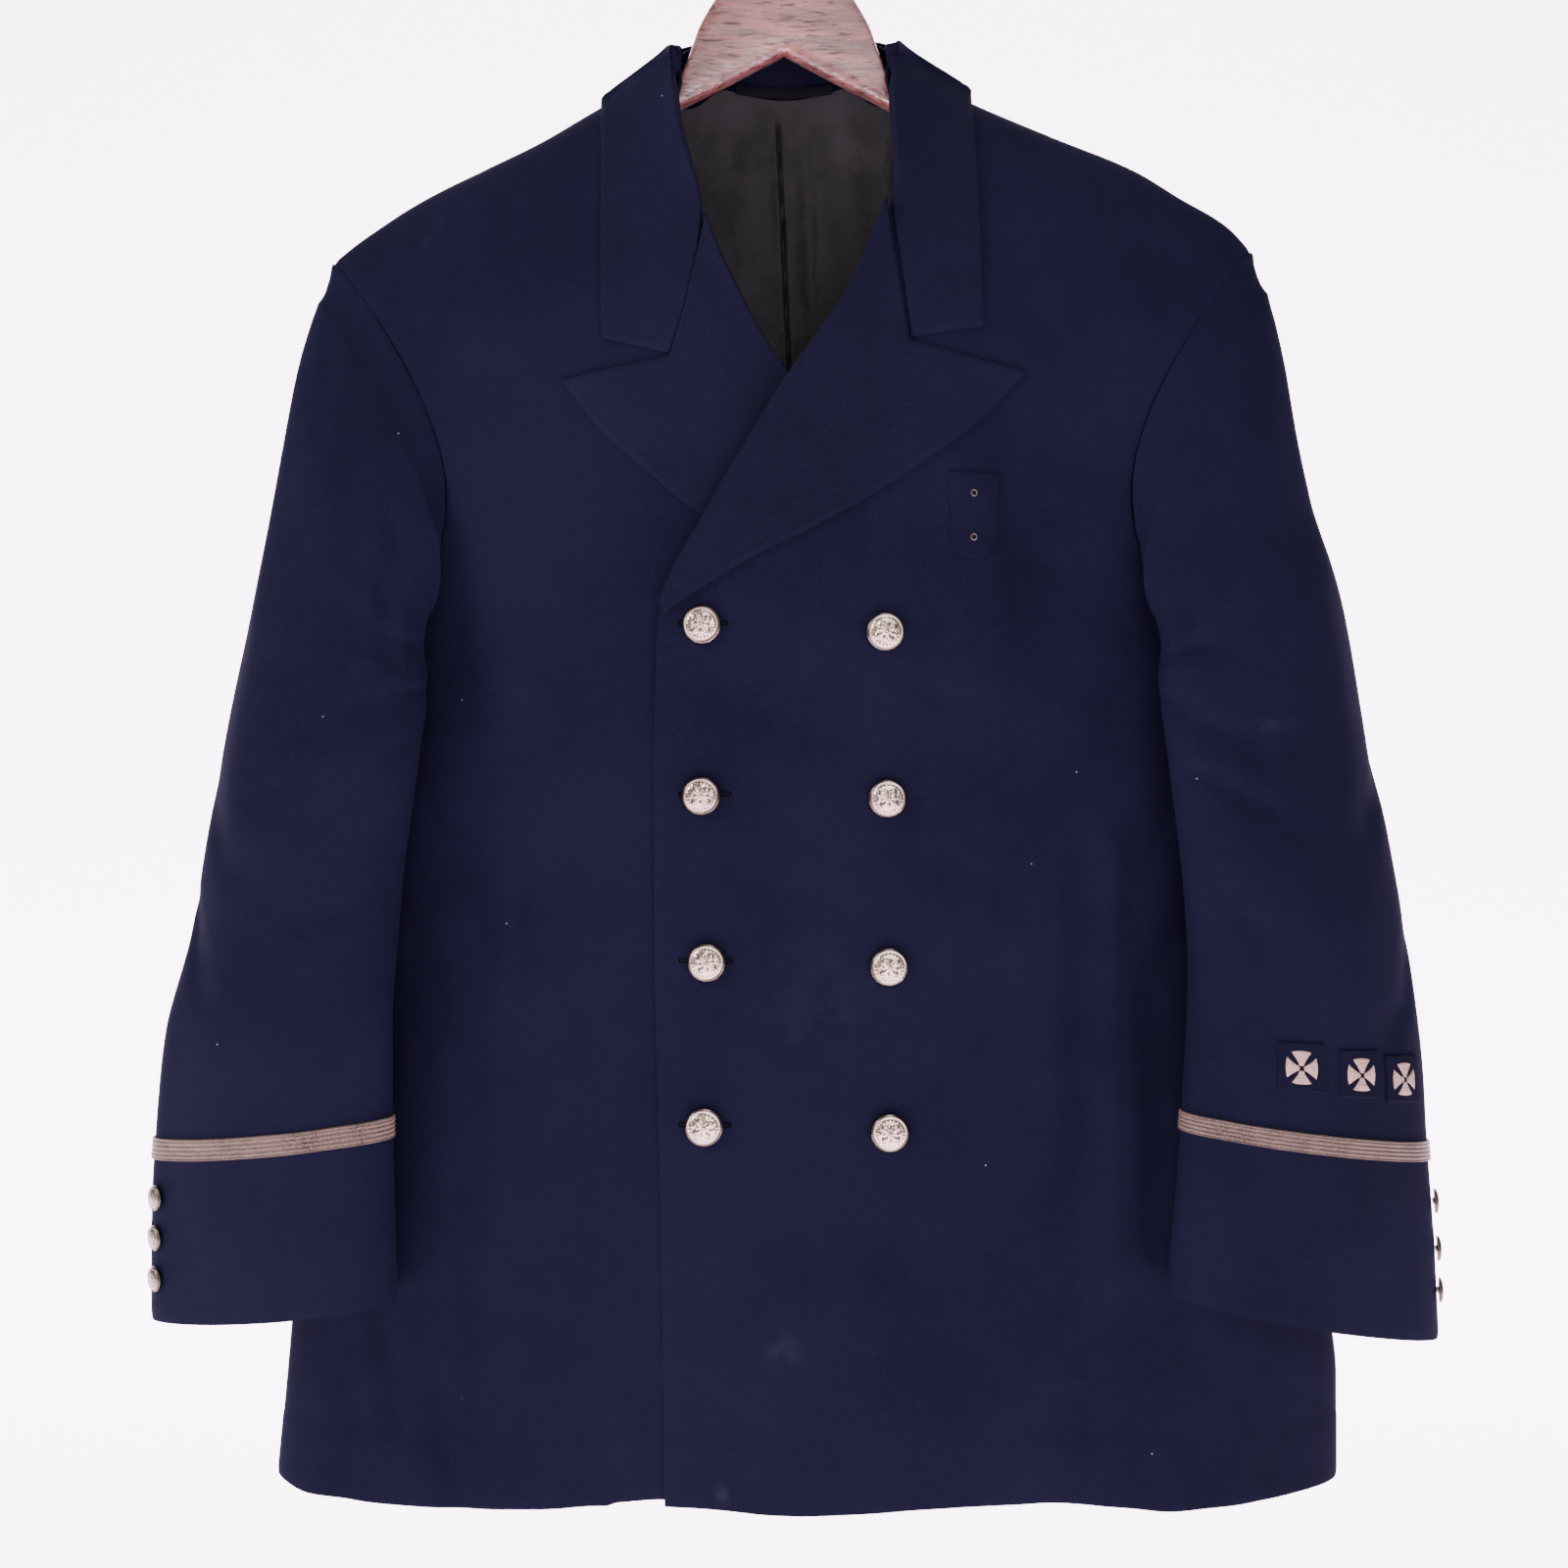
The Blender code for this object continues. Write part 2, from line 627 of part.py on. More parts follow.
def wall(name, outer, inner, material, closed=False, split=False):
    """A sheet as one closed solid between two grids of points; a closed one goes right round.

    Split, its outer side is cut into triangles on one diagonal, for cloth that folds sharply.
    """
    rows, columns = outer.shape[:2]
    shell = bmesh.new()
    layers = [[[shell.verts.new(point * MM) for point in row] for row in grid] for grid in (outer, inner)]
    steps = columns if closed else columns - 1
    for row in range(rows - 1):
        for column in range(steps):
            beside = (column + 1) % columns
            for layer in layers:
                above, below = layer[row], layer[row + 1]
                corners = (above[column], above[beside], below[beside], below[column])
                if split and layer is layers[0]:
                    shell.faces.new(corners[:3])
                    shell.faces.new((corners[0], *corners[2:]))
                else:
                    shell.faces.new(corners)
    front, rear = layers
    for row in (0, -1):
        for column in range(steps):
            beside = (column + 1) % columns
            shell.faces.new((front[row][column], front[row][beside], rear[row][beside], rear[row][column]))
    if not closed:
        for column in (0, -1):
            for row in range(rows - 1):
                first, second = front[row][column], front[row + 1][column]
                shell.faces.new((first, second, rear[row + 1][column], rear[row][column]))
    return finish_mesh(name, shell, material)


def finish_mesh(name, shell, material):
    bmesh.ops.recalc_face_normals(shell, faces=shell.faces)
    mesh = bpy.data.meshes.new(name)
    shell.to_mesh(mesh)
    shell.free()
    mesh.shade_smooth()
    mesh.set_sharp_from_angle(angle=np.radians(45))
    return add_object(name, mesh, material)


def make_fronts(cloth):
    """The under front, on the viewer's left, and the over front that is buttoned across it."""

    def under_hem(x):
        return np.where(x < -100, read(HEM, "down", x), mix(993, UNDER_HEM_DOWN, smooth((x + 150) / 80)))

    def over_hem(x):
        return read(HEM, "down", x)

    def under_edge(down):
        return read(UNDER_EDGE, "x", down) - 1.5

    def over_edge(down):
        return read(OVER_EDGE, "x", down) + 1.5 * (1 - smooth((down - 440) / 30))

    layers = (
        ("front_under", LEFT, front_y, under_edge, 131, under_hem),
        ("front_over", RIGHT, over_y, over_edge, 129, over_hem),
    )
    for name, side, depth, edge, top, hem in layers:
        x, down = panel(side, FRONT, edge, top, hem, 19, 13)
        outer = points(x, depth(x, down), down)
        inner = outer - panel_normals(depth, x, down, side, FRONT) * CLOTH
        shift = pulled_in(outer, rows=(SEAM, 0), columns=(SEAM, 0)) - outer
        wall(name, outer + shift, inner + shift, cloth)


def make_back(cloth):
    """Two back panels that meet at the centre seam."""
    for name, side in (("back_viewer_left", LEFT), ("back_viewer_right", RIGHT)):

        def centre(down):
            return CENTRE_BACK_X + 0 * down

        def hem(x):
            return BACK_HEM_DOWN + 0 * x

        x, down = panel(side, BACK, centre, BACK_NECK_DOWN, hem, 14, 9)
        outer = points(x, back_y(x, down), down)
        inner = outer - panel_normals(back_y, x, down, side, BACK) * CLOTH
        shift = pulled_in(outer, rows=(SEAM, 0), columns=(SEAM, SEAM)) - outer
        wall(name, outer + shift, inner + shift, cloth)


def pleat(x, down):
    """The lining's centre pleat, a small step with a trough beside it."""
    middle = mix(-4, 4, np.clip((down - 133) / 180, 0, 1))
    fade = smooth((down - 133) / 60) * (1 - smooth((down - 400) / 400))
    return fade * (3 * np.exp(-(((x - middle) / 5) ** 2)) + 2.5 * np.exp(-(((x - middle - 38) / 11) ** 2)))


def make_lining(lining):
    """The back lining, from the neck seam down, on the inside of the back."""
    half = 205
    x = np.concatenate([np.linspace(-half, -20, 6), np.linspace(-9, 9, 5), np.linspace(22, 60, 4), (110, half)])
    x = x[None, :]
    share = np.linspace(0, 1, 17)[:, None] ** 1.3
    top = top_line(x, BACK) + mix(1.6, 14, smooth((np.abs(x) - 36) / 24))
    down = mix(top, 950, share)
    back = points(x, back_y(x, down), down)
    inward = -outward(back_y, x, down, BACK)
    depth = (CLOTH + mix(1.4, 3.6, smooth((down - top) / 30)) + pleat(x, down))[..., None]
    wall("back_lining", back + inward * (depth + LINING_CLOTH), back + inward * depth, lining)


def make_sleeves(cloth):
    """Each sleeve is a top piece, over the front, and an under piece, sewn along two seams."""
    for side, word in ((LEFT, "left"), (RIGHT, "right")):
        ring = np.array(SLEEVE_RINGS)[:, None]
        pieces = (("top", HIND_CORNER, FORE_CORNER), ("under", FORE_CORNER, HIND_CORNER + 2 * ARMHOLE_ROWS))
        for name, first, last in pieces:
            turn = sleeve_turns(ring, first, last)
            outer = sleeve(side, ring, turn)
            inner = outer - sleeve_normal(side, ring, turn) * CLOTH
            shift = pulled_in(outer, rows=(0.6, 0), columns=(SEAM / 2, SEAM / 2)) - outer
            wall(f"sleeve_{name}_{word}", outer + shift, inner + shift, cloth, split=name == "under")


def make_braid(braid):
    """A flat braid sewn right round each cuff."""
    for side, word in ((LEFT, "left"), (RIGHT, "right")):
        turn = sleeve_turns(np.array([[BRAID_RING]]), HIND_CORNER, HIND_CORNER + 2 * ARMHOLE_ROWS - 1)
        length = SLEEVES[side]["outer_down"]
        ring = BRAID_RING + np.array([[0.02], [BRAID_WIDTH / (length[BRAID_RING + 1] - length[BRAID_RING])]])
        place, normal = sleeve(side, ring, turn), sleeve_normal(side, ring, turn)
        wall(f"braid_{word}", place + normal * (BRAID_REST + TRIM_CLOTH), place + normal * BRAID_REST, braid, closed=True)


def collar_row(along):
    """Fold and edge points of the collar at places from the left notch, -1, to the right one, +1."""
    rows = []
    for place in along:
        sizes = COLLAR[LEFT if place < 0 else RIGHT]
        fold = [read(sizes, "fold_" + axis, np.array(abs(place))) for axis in ("x", "y", "down")]
        edge = [read(sizes, "edge_" + axis, np.array(abs(place))) for axis in ("x", "y", "down")]
        rows.append((points(*fold), points(*edge)))
    return np.array(rows)


def make_collar(cloth):
    """The collar's leaf, over the shoulders and down to the notches, and the stand inside the neck."""
    round_neck = (-0.295, -0.25, -0.14, 0, 0.14, 0.25, 0.295)
    along = np.concatenate([-np.linspace(1, 0.34, 12), round_neck, np.linspace(0.34, 1, 12)])
    rows = collar_row(along)
    share = np.array((0, 0.05, 0.16, 0.4, 0.7, 1))[None, :, None]
    leaf = mix(rows[:, :1], rows[:, 1:], share)
    x, down = leaf[..., 0], -leaf[..., 2]
    far = np.abs(along)[:, None]
    fold = COLLAR_FOLD_LIFT * (1 - smooth((far - 0.66) / 0.12)) * np.exp(-6 * share[..., 0])
    facing = np.maximum(np.abs(outward(front_y, x, down, FRONT)[..., 1]), 0.3)
    before = np.where(x < 0, front_y(x, down), over_y(x, down)) - (LAYER + fold) / facing
    facing = np.maximum(np.abs(outward(back_y, x, down, BACK)[..., 1]), 0.3)
    behind = back_y(x, down) + LAYER / facing
    front_row = far > 0.36
    leaf[..., 1] = np.where(front_row, np.minimum(leaf[..., 1] * (far < 0.5), before), leaf[..., 1])
    leaf[..., 1] = np.where(far < 0.30, np.maximum(leaf[..., 1], behind), leaf[..., 1])
    inner = leaf - normals_away(leaf, (0, 0, -230)) * FOLDED_CLOTH
    shift = pulled_in(leaf, rows=(SEAM, SEAM)) - leaf
    wall("collar_leaf", leaf + shift, inner + shift, cloth)

    reach = STAND["along"][-1]
    along = np.linspace(-reach, reach, 21)
    fold = collar_row(along)[:, 0]
    side = np.sign(along)
    seam = points(
        side * read(STAND, "seam_share", np.abs(along)),
        read(STAND, "seam_y", np.abs(along)),
        read(STAND, "seam_down", np.abs(along)),
    )
    inward = np.array((0, -25, 0)) - fold
    inward[:, 2] = 0
    inward /= np.linalg.norm(inward, axis=-1, keepdims=True)
    top = fold + inward * (STAND_INSET + FOLDED_CLOTH)
    top[:, 2] -= 1.5
    seam = seam + inward * 1.0
    stand = mix(top[:, None], seam[:, None], np.linspace(0, 1, 4)[None, :, None])
    rear = stand - inward[:, None] * FOLDED_CLOTH * 0.9
    wall("collar_stand", stand, rear, cloth)


def make_lapel(name, depth, edge, outline, gorge, cloth):
    """A peak lapel, folded back along the roll of its front and lying on it."""
    along = np.linspace(0, 1, 13)[:, None]
    share = np.array((0, 0.03, 0.09, 0.2, 0.36, 0.5, 0.75, 1))[None, :]
    roll_down = mix(gorge["down"][0], 462, along)
    roll_x = read(edge, "x", roll_down)
    edge_x, edge_down = read(outline, "x", along), read(outline, "down", along)
    bend_x = np.interp(share, gorge["share"], gorge["x"]) - mix(gorge["x"][0], gorge["x"][-1], share)
    bend_down = np.interp(share, gorge["share"], gorge["down"]) - mix(gorge["down"][0], gorge["down"][-1], share)
    fade = (1 - along) ** 2.5
    x = mix(roll_x, edge_x, share) + bend_x * fade
    down = mix(roll_down, edge_down, share) + bend_down * fade
    away = share * np.hypot(edge_x - roll_x, edge_down - roll_down)
    hidden = 3 if name == "lapel_under" else 0.85
    roll = LAPEL_ROLL * np.clip(1 - hidden * along, 0, 1) * np.exp(-away / LAPEL_ROLL_REACH)
    outer = points(x, depth(x, down) - LAYER - roll, down)
    inner = outer - normals_away(outer, (0, 200, -400)) * FOLDED_CLOTH
    shift = pulled_in(outer, rows=(2 * SEAM, 0)) - outer
    wall(name, outer + shift, inner + shift, cloth)


def make_badge_tab(cloth):
    """A stitched tab with a round foot on the over front."""
    tab = BADGE_TAB
    middle, half = (tab["left"] + tab["right"]) / 2, (tab["right"] - tab["left"]) / 2
    share = np.array((0, 0.3, 0.55, 0.75, 0.9, 0.98))[:, None]
    down = mix(tab["top"], tab["bottom"], share)
    foot = tab["bottom"] - half
    narrow = np.sqrt(np.clip(1 - (np.maximum(down - foot, 0) / half) ** 2, 0, 1))
    x = middle + half * narrow * np.linspace(-1, 1, 5)[None, :]
    place = points(x, over_y(x, down), down + 0 * x)
    normal = outward(over_y, x, down + 0 * x, FRONT)
    wall("badge_tab", place + normal * (REST + TRIM_CLOTH), place + normal * REST, cloth)


def make_service_patches(cloth, thread):
    """Three square patches on the right sleeve, each with a raised cross that widens to its ends."""
    waist, flare, end = CROSS_WAIST, CROSS_FLARE, CROSS / 2
    for number, x, down in zip(*SERVICE_PATCHES.values()):
        ring, turn = on_sleeve(RIGHT, x, down)
        across, along = np.meshgrid(np.linspace(-PATCH / 2, PATCH / 2, 5), np.linspace(-PATCH / 2, PATCH / 2, 3))
        levels = [laid_on_sleeve(RIGHT, ring, turn, across, along, REST + lift) for lift in (TRIM_CLOTH, 0)]
        wall(f"patch_{number:.0f}", *levels, cloth)

        arms = ((-waist, -waist), (-flare, -end), (flare, -end), (waist, -waist), (end, -flare), (end, flare))
        corners = np.array([*arms, *[(-a, -b) for a, b in arms]])
        shell = bmesh.new()
        layers = []
        for lift in (2 * REST + 2 * TRIM_CLOTH, 2 * REST + TRIM_CLOTH):
            places = laid_on_sleeve(RIGHT, ring, turn, corners[:, 0], corners[:, 1], lift)
            layers.append([shell.verts.new(place * MM) for place in places])
        for layer in layers:
            for first in (0, 3, 6, 9):
                shell.faces.new([layer[(first + step) % 12] for step in range(4)])
            shell.faces.new([layer[corner] for corner in (0, 3, 6, 9)])
        for first in range(12):
            second = (first + 1) % 12
            shell.faces.new((layers[0][first], layers[0][second], layers[1][second], layers[1][first]))
        finish_mesh(f"cross_{number:.0f}", shell, thread)


def turned(name, profile, steps, material, place, facing):
    """A turned piece: its profile of radius and height, its foot at a place and its axis facing a way."""
    mesh = bpy.data.meshes.new(name)
    corners = [(radius * MM, 0, height * MM) for radius, height in profile]
    mesh.from_pydata(corners, [(i, i + 1) for i in range(len(corners) - 1)], [])
    piece = add_object(name, mesh, material)
    screw = piece.modifiers.new("turned", "SCREW")
    screw.steps = screw.render_steps = steps
    screw.use_merge_vertices = True
    screw.merge_threshold = 0.00005
    screw.use_smooth_shade = True
    piece.location = [value * MM for value in place]
    piece.rotation_mode = "QUATERNION"
    piece.rotation_quaternion = Vector(facing).to_track_quat("Z", "Y")
    return piece


def button_profile(width):
    """A domed metal button with a rim, on a short shank."""
    radius, shank = width / 2, 0.13 * width
    dome = [(0, 0.20), (0.42, 0.18), (0.76, 0.12), (0.94, 0.06), (1.0, 0.02), (0.96, -0.03)]
    profile = [(share * radius, shank + (high + 0.05) * width) for share, high in dome]
    return [*profile, (0.24 * radius, shank), (0.24 * radius, 0), (0, 0)]


def make_buttons(metal, dull_metal):
    """Two columns of front buttons and three at each cuff."""
    for row, left, right, down_left, down_right in zip(*FRONT_BUTTONS.values()):
        for word, x, down in (("left", left, down_left), ("right", right, down_right)):
            normal = outward(over_y, np.array(x), np.array(down), FRONT)
            place = points(x, over_y(x, down), down) + normal * SEAM
            turned(f"button_{word}_{row:.0f}", button_profile(FRONT_BUTTON), 14, metal, place, normal)
    for side, word in ((LEFT, "left"), (RIGHT, "right")):
        for number, down in enumerate(CUFF_BUTTON_DOWNS[side], 1):
            rings = np.linspace(9, 12, 301)
            edge = sleeve(side, rings, CUFF_BUTTON_TURN[side])
            ring = rings[np.argmin(np.abs(edge[:, 2] + down))]
            normal = sleeve_normal(side, ring, CUFF_BUTTON_TURN[side])
            place = sleeve(side, ring, CUFF_BUTTON_TURN[side]) + normal * SEAM
            turned(f"cuff_button_{word}_{number}", button_profile(CUFF_BUTTON), 12, dull_metal, place, normal)


def make_hanger_loop(tape):
    """The tape loop at the back of the neck."""
    x = np.linspace(-LOOP["half"], LOOP["half"], 7)[None, :]
    down = np.array([[LOOP["top"]], [LOOP["bottom"]]]) + 1.5 * (1 - (x / LOOP["half"]) ** 2)
    y = LOOP["y"] - 6 * (x / LOOP["half"]) ** 2 * 0.5
    wall("hanger_loop", points(x, y - 1.2, down), points(x, y, down), tape)


def make_hanger(wood, steel):
    """A flat wooden hanger whose arms follow the shoulders, and its wire hook."""
    outline = table(
        "x rise_left rise_right foot",
        (0, 105 - WOOD_PEAK_DOWN, 105 - WOOD_PEAK_DOWN, 118),
        (14, 48.5, 48.5, 125.5),
        (39, 34.5, 35, 138.5),
        (52, 20, 19, 145),
        (58, 6, 5, 148),
        (64, -5, -5, 151),
        (70, -WOOD_UNDER_RIDGE, -WOOD_UNDER_RIDGE, 154),
        (120, -WOOD_UNDER_RIDGE, -WOOD_UNDER_RIDGE, 180),
        (WOOD_ARM, -WOOD_UNDER_RIDGE, -WOOD_UNDER_RIDGE, 247),
    )
    arm = np.array([0, 7, 14, 24, 39, 46, 52, 58, 64, 70, 84, 100, 120, 150, 185, 220, WOOD_ARM - 4, WOOD_ARM], float)
    rings = []
    for x in np.concatenate([-arm[:0:-1], arm]):
        reach = np.array(abs(x))
        rise = read(outline, "rise_left" if x < 0 else "rise_right", reach)
        top = read(RIDGE, "down", np.array(x)) - rise
        foot = read(outline, "foot", reach) - (8 if x > 200 else 0) * (x - 200) / 50
        foot = np.maximum(foot, top + 14)
        half = WOOD_THICK / 2
        if reach == WOOD_ARM:
            top, foot, half = top + 4, foot - 3, half - 3
        shoulder = 4.5
        section = (
            (-half + 4, top), (half - 4, top), (half, top + shoulder), (half, foot - 2),
            (half - 2, foot), (2 - half, foot), (-half, foot - 2), (-half, top + shoulder),
        )
        rings.append([(x, y, -down) for y, down in section])
    rings = np.array(rings)
    shell = bmesh.new()
    loops = [[shell.verts.new(point * MM) for point in ring] for ring in rings]
    for first, second in zip(loops, loops[1:]):
        for corner in range(8):
            beside = (corner + 1) % 8
            shell.faces.new((first[corner], first[beside], second[beside], second[corner]))
    shell.faces.new(loops[0])
    shell.faces.new(loops[-1])
    finish_mesh("hanger_wood", shell, wood)

    radius = HOOK_INNER_RADIUS + HOOK_WIRE / 2
    centre = -HOOK_INNER_RADIUS
    turns = np.radians(np.linspace(-42, 205, 22))
    stem = [(0, -WOOD_PEAK_DOWN + SEAM), (0, -52), (0.6, -47), (3.4, -42), (8.2, -37)]
    route = stem + [(radius * np.cos(turn), centre + radius * np.sin(turn)) for turn in turns]
    wire = bpy.data.curves.new("hanger_hook", "CURVE")
    wire.dimensions = "3D"
    wire.bevel_depth = HOOK_WIRE / 2 * MM
    wire.bevel_resolution = 2
    wire.use_fill_caps = True
    spline = wire.splines.new("POLY")
    spline.points.add(len(route) - 1)
    for point, (x, z) in zip(spline.points, route):
        point.co = (x * MM, 0, z * MM, 1)
    wire.materials.append(steel)
    hook = bpy.data.objects.new("hanger_hook", wire)
    bpy.data.collections[COLLECTION].objects.link(hook)


COLLECTION = "fire_service_dress_jacket"


def main():
    for item in list(bpy.data.objects):
        bpy.data.objects.remove(item)
    collection = bpy.data.collections.new(COLLECTION)
    bpy.context.scene.collection.children.link(collection)

    navy = new_material("navy_wool", (0.013, 0.013, 0.030), 0.9)
    lining = new_material("black_lining", (0.03, 0.028, 0.035), 0.45)
    tape = new_material("black_tape", (0.01, 0.01, 0.012), 0.8)
    braid = new_material("silver_braid", (0.33, 0.29, 0.26), 0.5, 0.6)
    nickel = new_material("nickel", (0.62, 0.58, 0.52), 0.3, 1)
    dull_nickel = new_material("dull_nickel", (0.45, 0.42, 0.38), 0.4, 1)
    wood = new_material("mahogany", (0.13, 0.035, 0.022), 0.35)
    steel = new_material("bright_steel", (0.6, 0.6, 0.6), 0.25, 1)

    make_fronts(navy)
    make_back(navy)
    make_lining(lining)
    make_sleeves(navy)
    make_braid(braid)
    make_collar(navy)
    make_lapel("lapel_under", front_y, UNDER_EDGE, LAPEL_EDGE["under"], LAPEL_GORGE["under"], navy)
    make_lapel("lapel_over", over_y, OVER_EDGE, LAPEL_EDGE["over"], LAPEL_GORGE["over"], navy)
    make_badge_tab(navy)
    make_service_patches(navy, braid)
    make_buttons(nickel, dull_nickel)
    make_hanger_loop(tape)
    make_hanger(wood, steel)


main()
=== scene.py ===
"""The fire service dress jacket as it looks, laid on the CAD solids: creases, stitching and trim.

Sizes are in millimetres, as in the CAD, and MM turns them into metres. X runs to the viewer's right, the
front faces -Y and Z points up. "down" is the distance below the inner top of the hanger's hook.
"""

import bpy
import json
import numpy as np
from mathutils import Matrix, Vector

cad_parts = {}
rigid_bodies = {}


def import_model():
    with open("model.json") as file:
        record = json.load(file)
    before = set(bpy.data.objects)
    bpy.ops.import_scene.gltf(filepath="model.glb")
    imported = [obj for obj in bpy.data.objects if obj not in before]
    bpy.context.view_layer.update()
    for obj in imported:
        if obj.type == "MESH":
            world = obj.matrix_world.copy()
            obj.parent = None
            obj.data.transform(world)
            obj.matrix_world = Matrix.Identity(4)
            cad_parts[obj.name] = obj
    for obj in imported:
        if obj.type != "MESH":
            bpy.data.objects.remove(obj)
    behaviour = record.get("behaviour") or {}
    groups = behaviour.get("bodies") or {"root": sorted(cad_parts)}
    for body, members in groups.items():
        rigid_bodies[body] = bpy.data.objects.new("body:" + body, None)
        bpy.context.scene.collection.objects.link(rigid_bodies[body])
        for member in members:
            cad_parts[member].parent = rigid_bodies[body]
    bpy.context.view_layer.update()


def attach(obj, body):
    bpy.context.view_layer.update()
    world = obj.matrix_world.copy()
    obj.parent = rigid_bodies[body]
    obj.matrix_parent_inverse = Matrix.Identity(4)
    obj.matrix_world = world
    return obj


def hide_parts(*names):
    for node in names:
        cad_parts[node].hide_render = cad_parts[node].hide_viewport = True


for item in list(bpy.data.objects):
    bpy.data.objects.remove(item)
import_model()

MM = 0.001
LEFT, RIGHT = -1, 1
FRONT, BACK = -1, 1
SIDES = ((LEFT, "left"), (RIGHT, "right"))

# Cloth
CLOTH = 2.0
LINING_CLOTH = 1.2
FOLDED_CLOTH = 2.2
LAYER = 3.0

# Body
NECK_POINT = 75
BACK_NECK_DOWN = 133
CENTRE_BACK_X = 3
UNDERARM_DOWN = 470
UNDER_HEM_DOWN = 985
BACK_HEM_DOWN = 990
RIDGE_ROUND = {FRONT: 140, BACK: 70}
ARMHOLE_ROWS = 10
ARMHOLE_FINE = 90
YOKE_CROWDING = 1.3
SIDE_SEAM_X = 330.0
HEM_TURNED = 40
STITCH_INSET = 6.2

# Buttons
FRONT_BUTTON = 22.5
CUFF_BUTTON = 14.8

# Trim
BRAID_WIDTH = 12.5
BRAID_RIBS = 5
TAB_STITCH_INSET = 3.0
PATCH = 28
CROSS = 19
CROSS_WAIST = 2.6
CROSS_FLARE = 7.0

# Hanger
WOOD_THICK = 14
WOOD_ARM = 250
WOOD_PEAK_DOWN = 58
HOOK_INNER_RADIUS = 18
HOOK_WIRE = 3.6
WOOD_TIP = 6
WOOD_SQUARE = 5.5
WOOD_CORNER = 4.0


def table(columns, *rows):
    """Sizes in rows under named columns, as a dictionary of arrays."""
    return dict(zip(columns.split(), np.array(rows, float).T))


# Half widths to each side and depths in front and behind, over the body's length
BODY = table(
    "down left right front back",
    (100, 305, 318, 46, 34),
    (300, 300, 314, 56, 40),
    (400, 284, 297, 60, 43),
    (440, 272, 284, 60, 44),
    (472, 264, 276, 60, 44),
    (560, 268, 284, 59, 45),
    (700, 282, 302, 57, 46),
    (850, 299, 327, 57, 47),
    (930, 306, 340, 57, 48),
    (995, 312, 340, 58, 48),
)

# Top of the shoulders, where the front meets the back
RIDGE = table(
    "x down",
    (-300, 275),
    (-278, 247),
    (-243, 221),
    (-218, 206),
    (-181, 188),
    (-150, 173),
    (-112, 151),
    (-75, 131),
    (0, 105),
    (75, 129),
    (116, 149),
    (164, 169),
    (214, 189),
    (243, 206),
    (272, 223),
    (289, 241),
    (300, 256),
)

HEM = table(
    "x down",
    (-312, 989),
    (-285, 995),
    (-200, 995),
    (-150, 993),
    (-70, 988),
    (20, 993),
    (79, 990),
    (152, 989),
    (234, 998),
    (285, 996),
    (340, 991),
)

# Front edges: the roll of the lapel down to the break, then the buttoned edge
UNDER_EDGE = table(
    "down x",
    (131, -72),
    (161, -66),
    (183, -62.5),
    (236, -46.5),
    (286, -24),
    (330, 3),
    (385, 38),
    (440, 70),
    (468, 82),
    (560, 84),
    (995, 84),
)
OVER_EDGE = table(
    "down x",
    (129, 72),
    (165, 66),
    (207, 66),
    (236, 56),
    (281, 37.5),
    (303, 23),
    (331, 3),
    (361, -16),
    (385, -30.5),
    (414, -47.5),
    (445, -64.6),
    (467, -73),
    (560, -76),
    (636, -76),
    (829, -72),
    (995, -69.5),
)

# Largest folds: troughs that run from a top to a bottom, with their half width and depth
FRONT_FOLDS = table(
    "x_top x_bottom top bottom width depth",
    (-178, -188, 540, 1020, 12, 7),
    (-138, -150, 480, 800, 13, 4),
    (-112, -118, 840, 1020, 14, 4),
    (86, 92, 380, 540, 15, 3),
    (182, 174, 590, 960, 13, 7),
    (228, 208, 660, 1020, 14, 9),
)
BACK_FOLDS = table(
    "x_top x_bottom top bottom width depth",
    (-122, -136, 400, 1020, 24, 5),
    (62, 74, 360, 1020, 26, 4),
    (172, 192, 480, 1020, 22, 6),
)

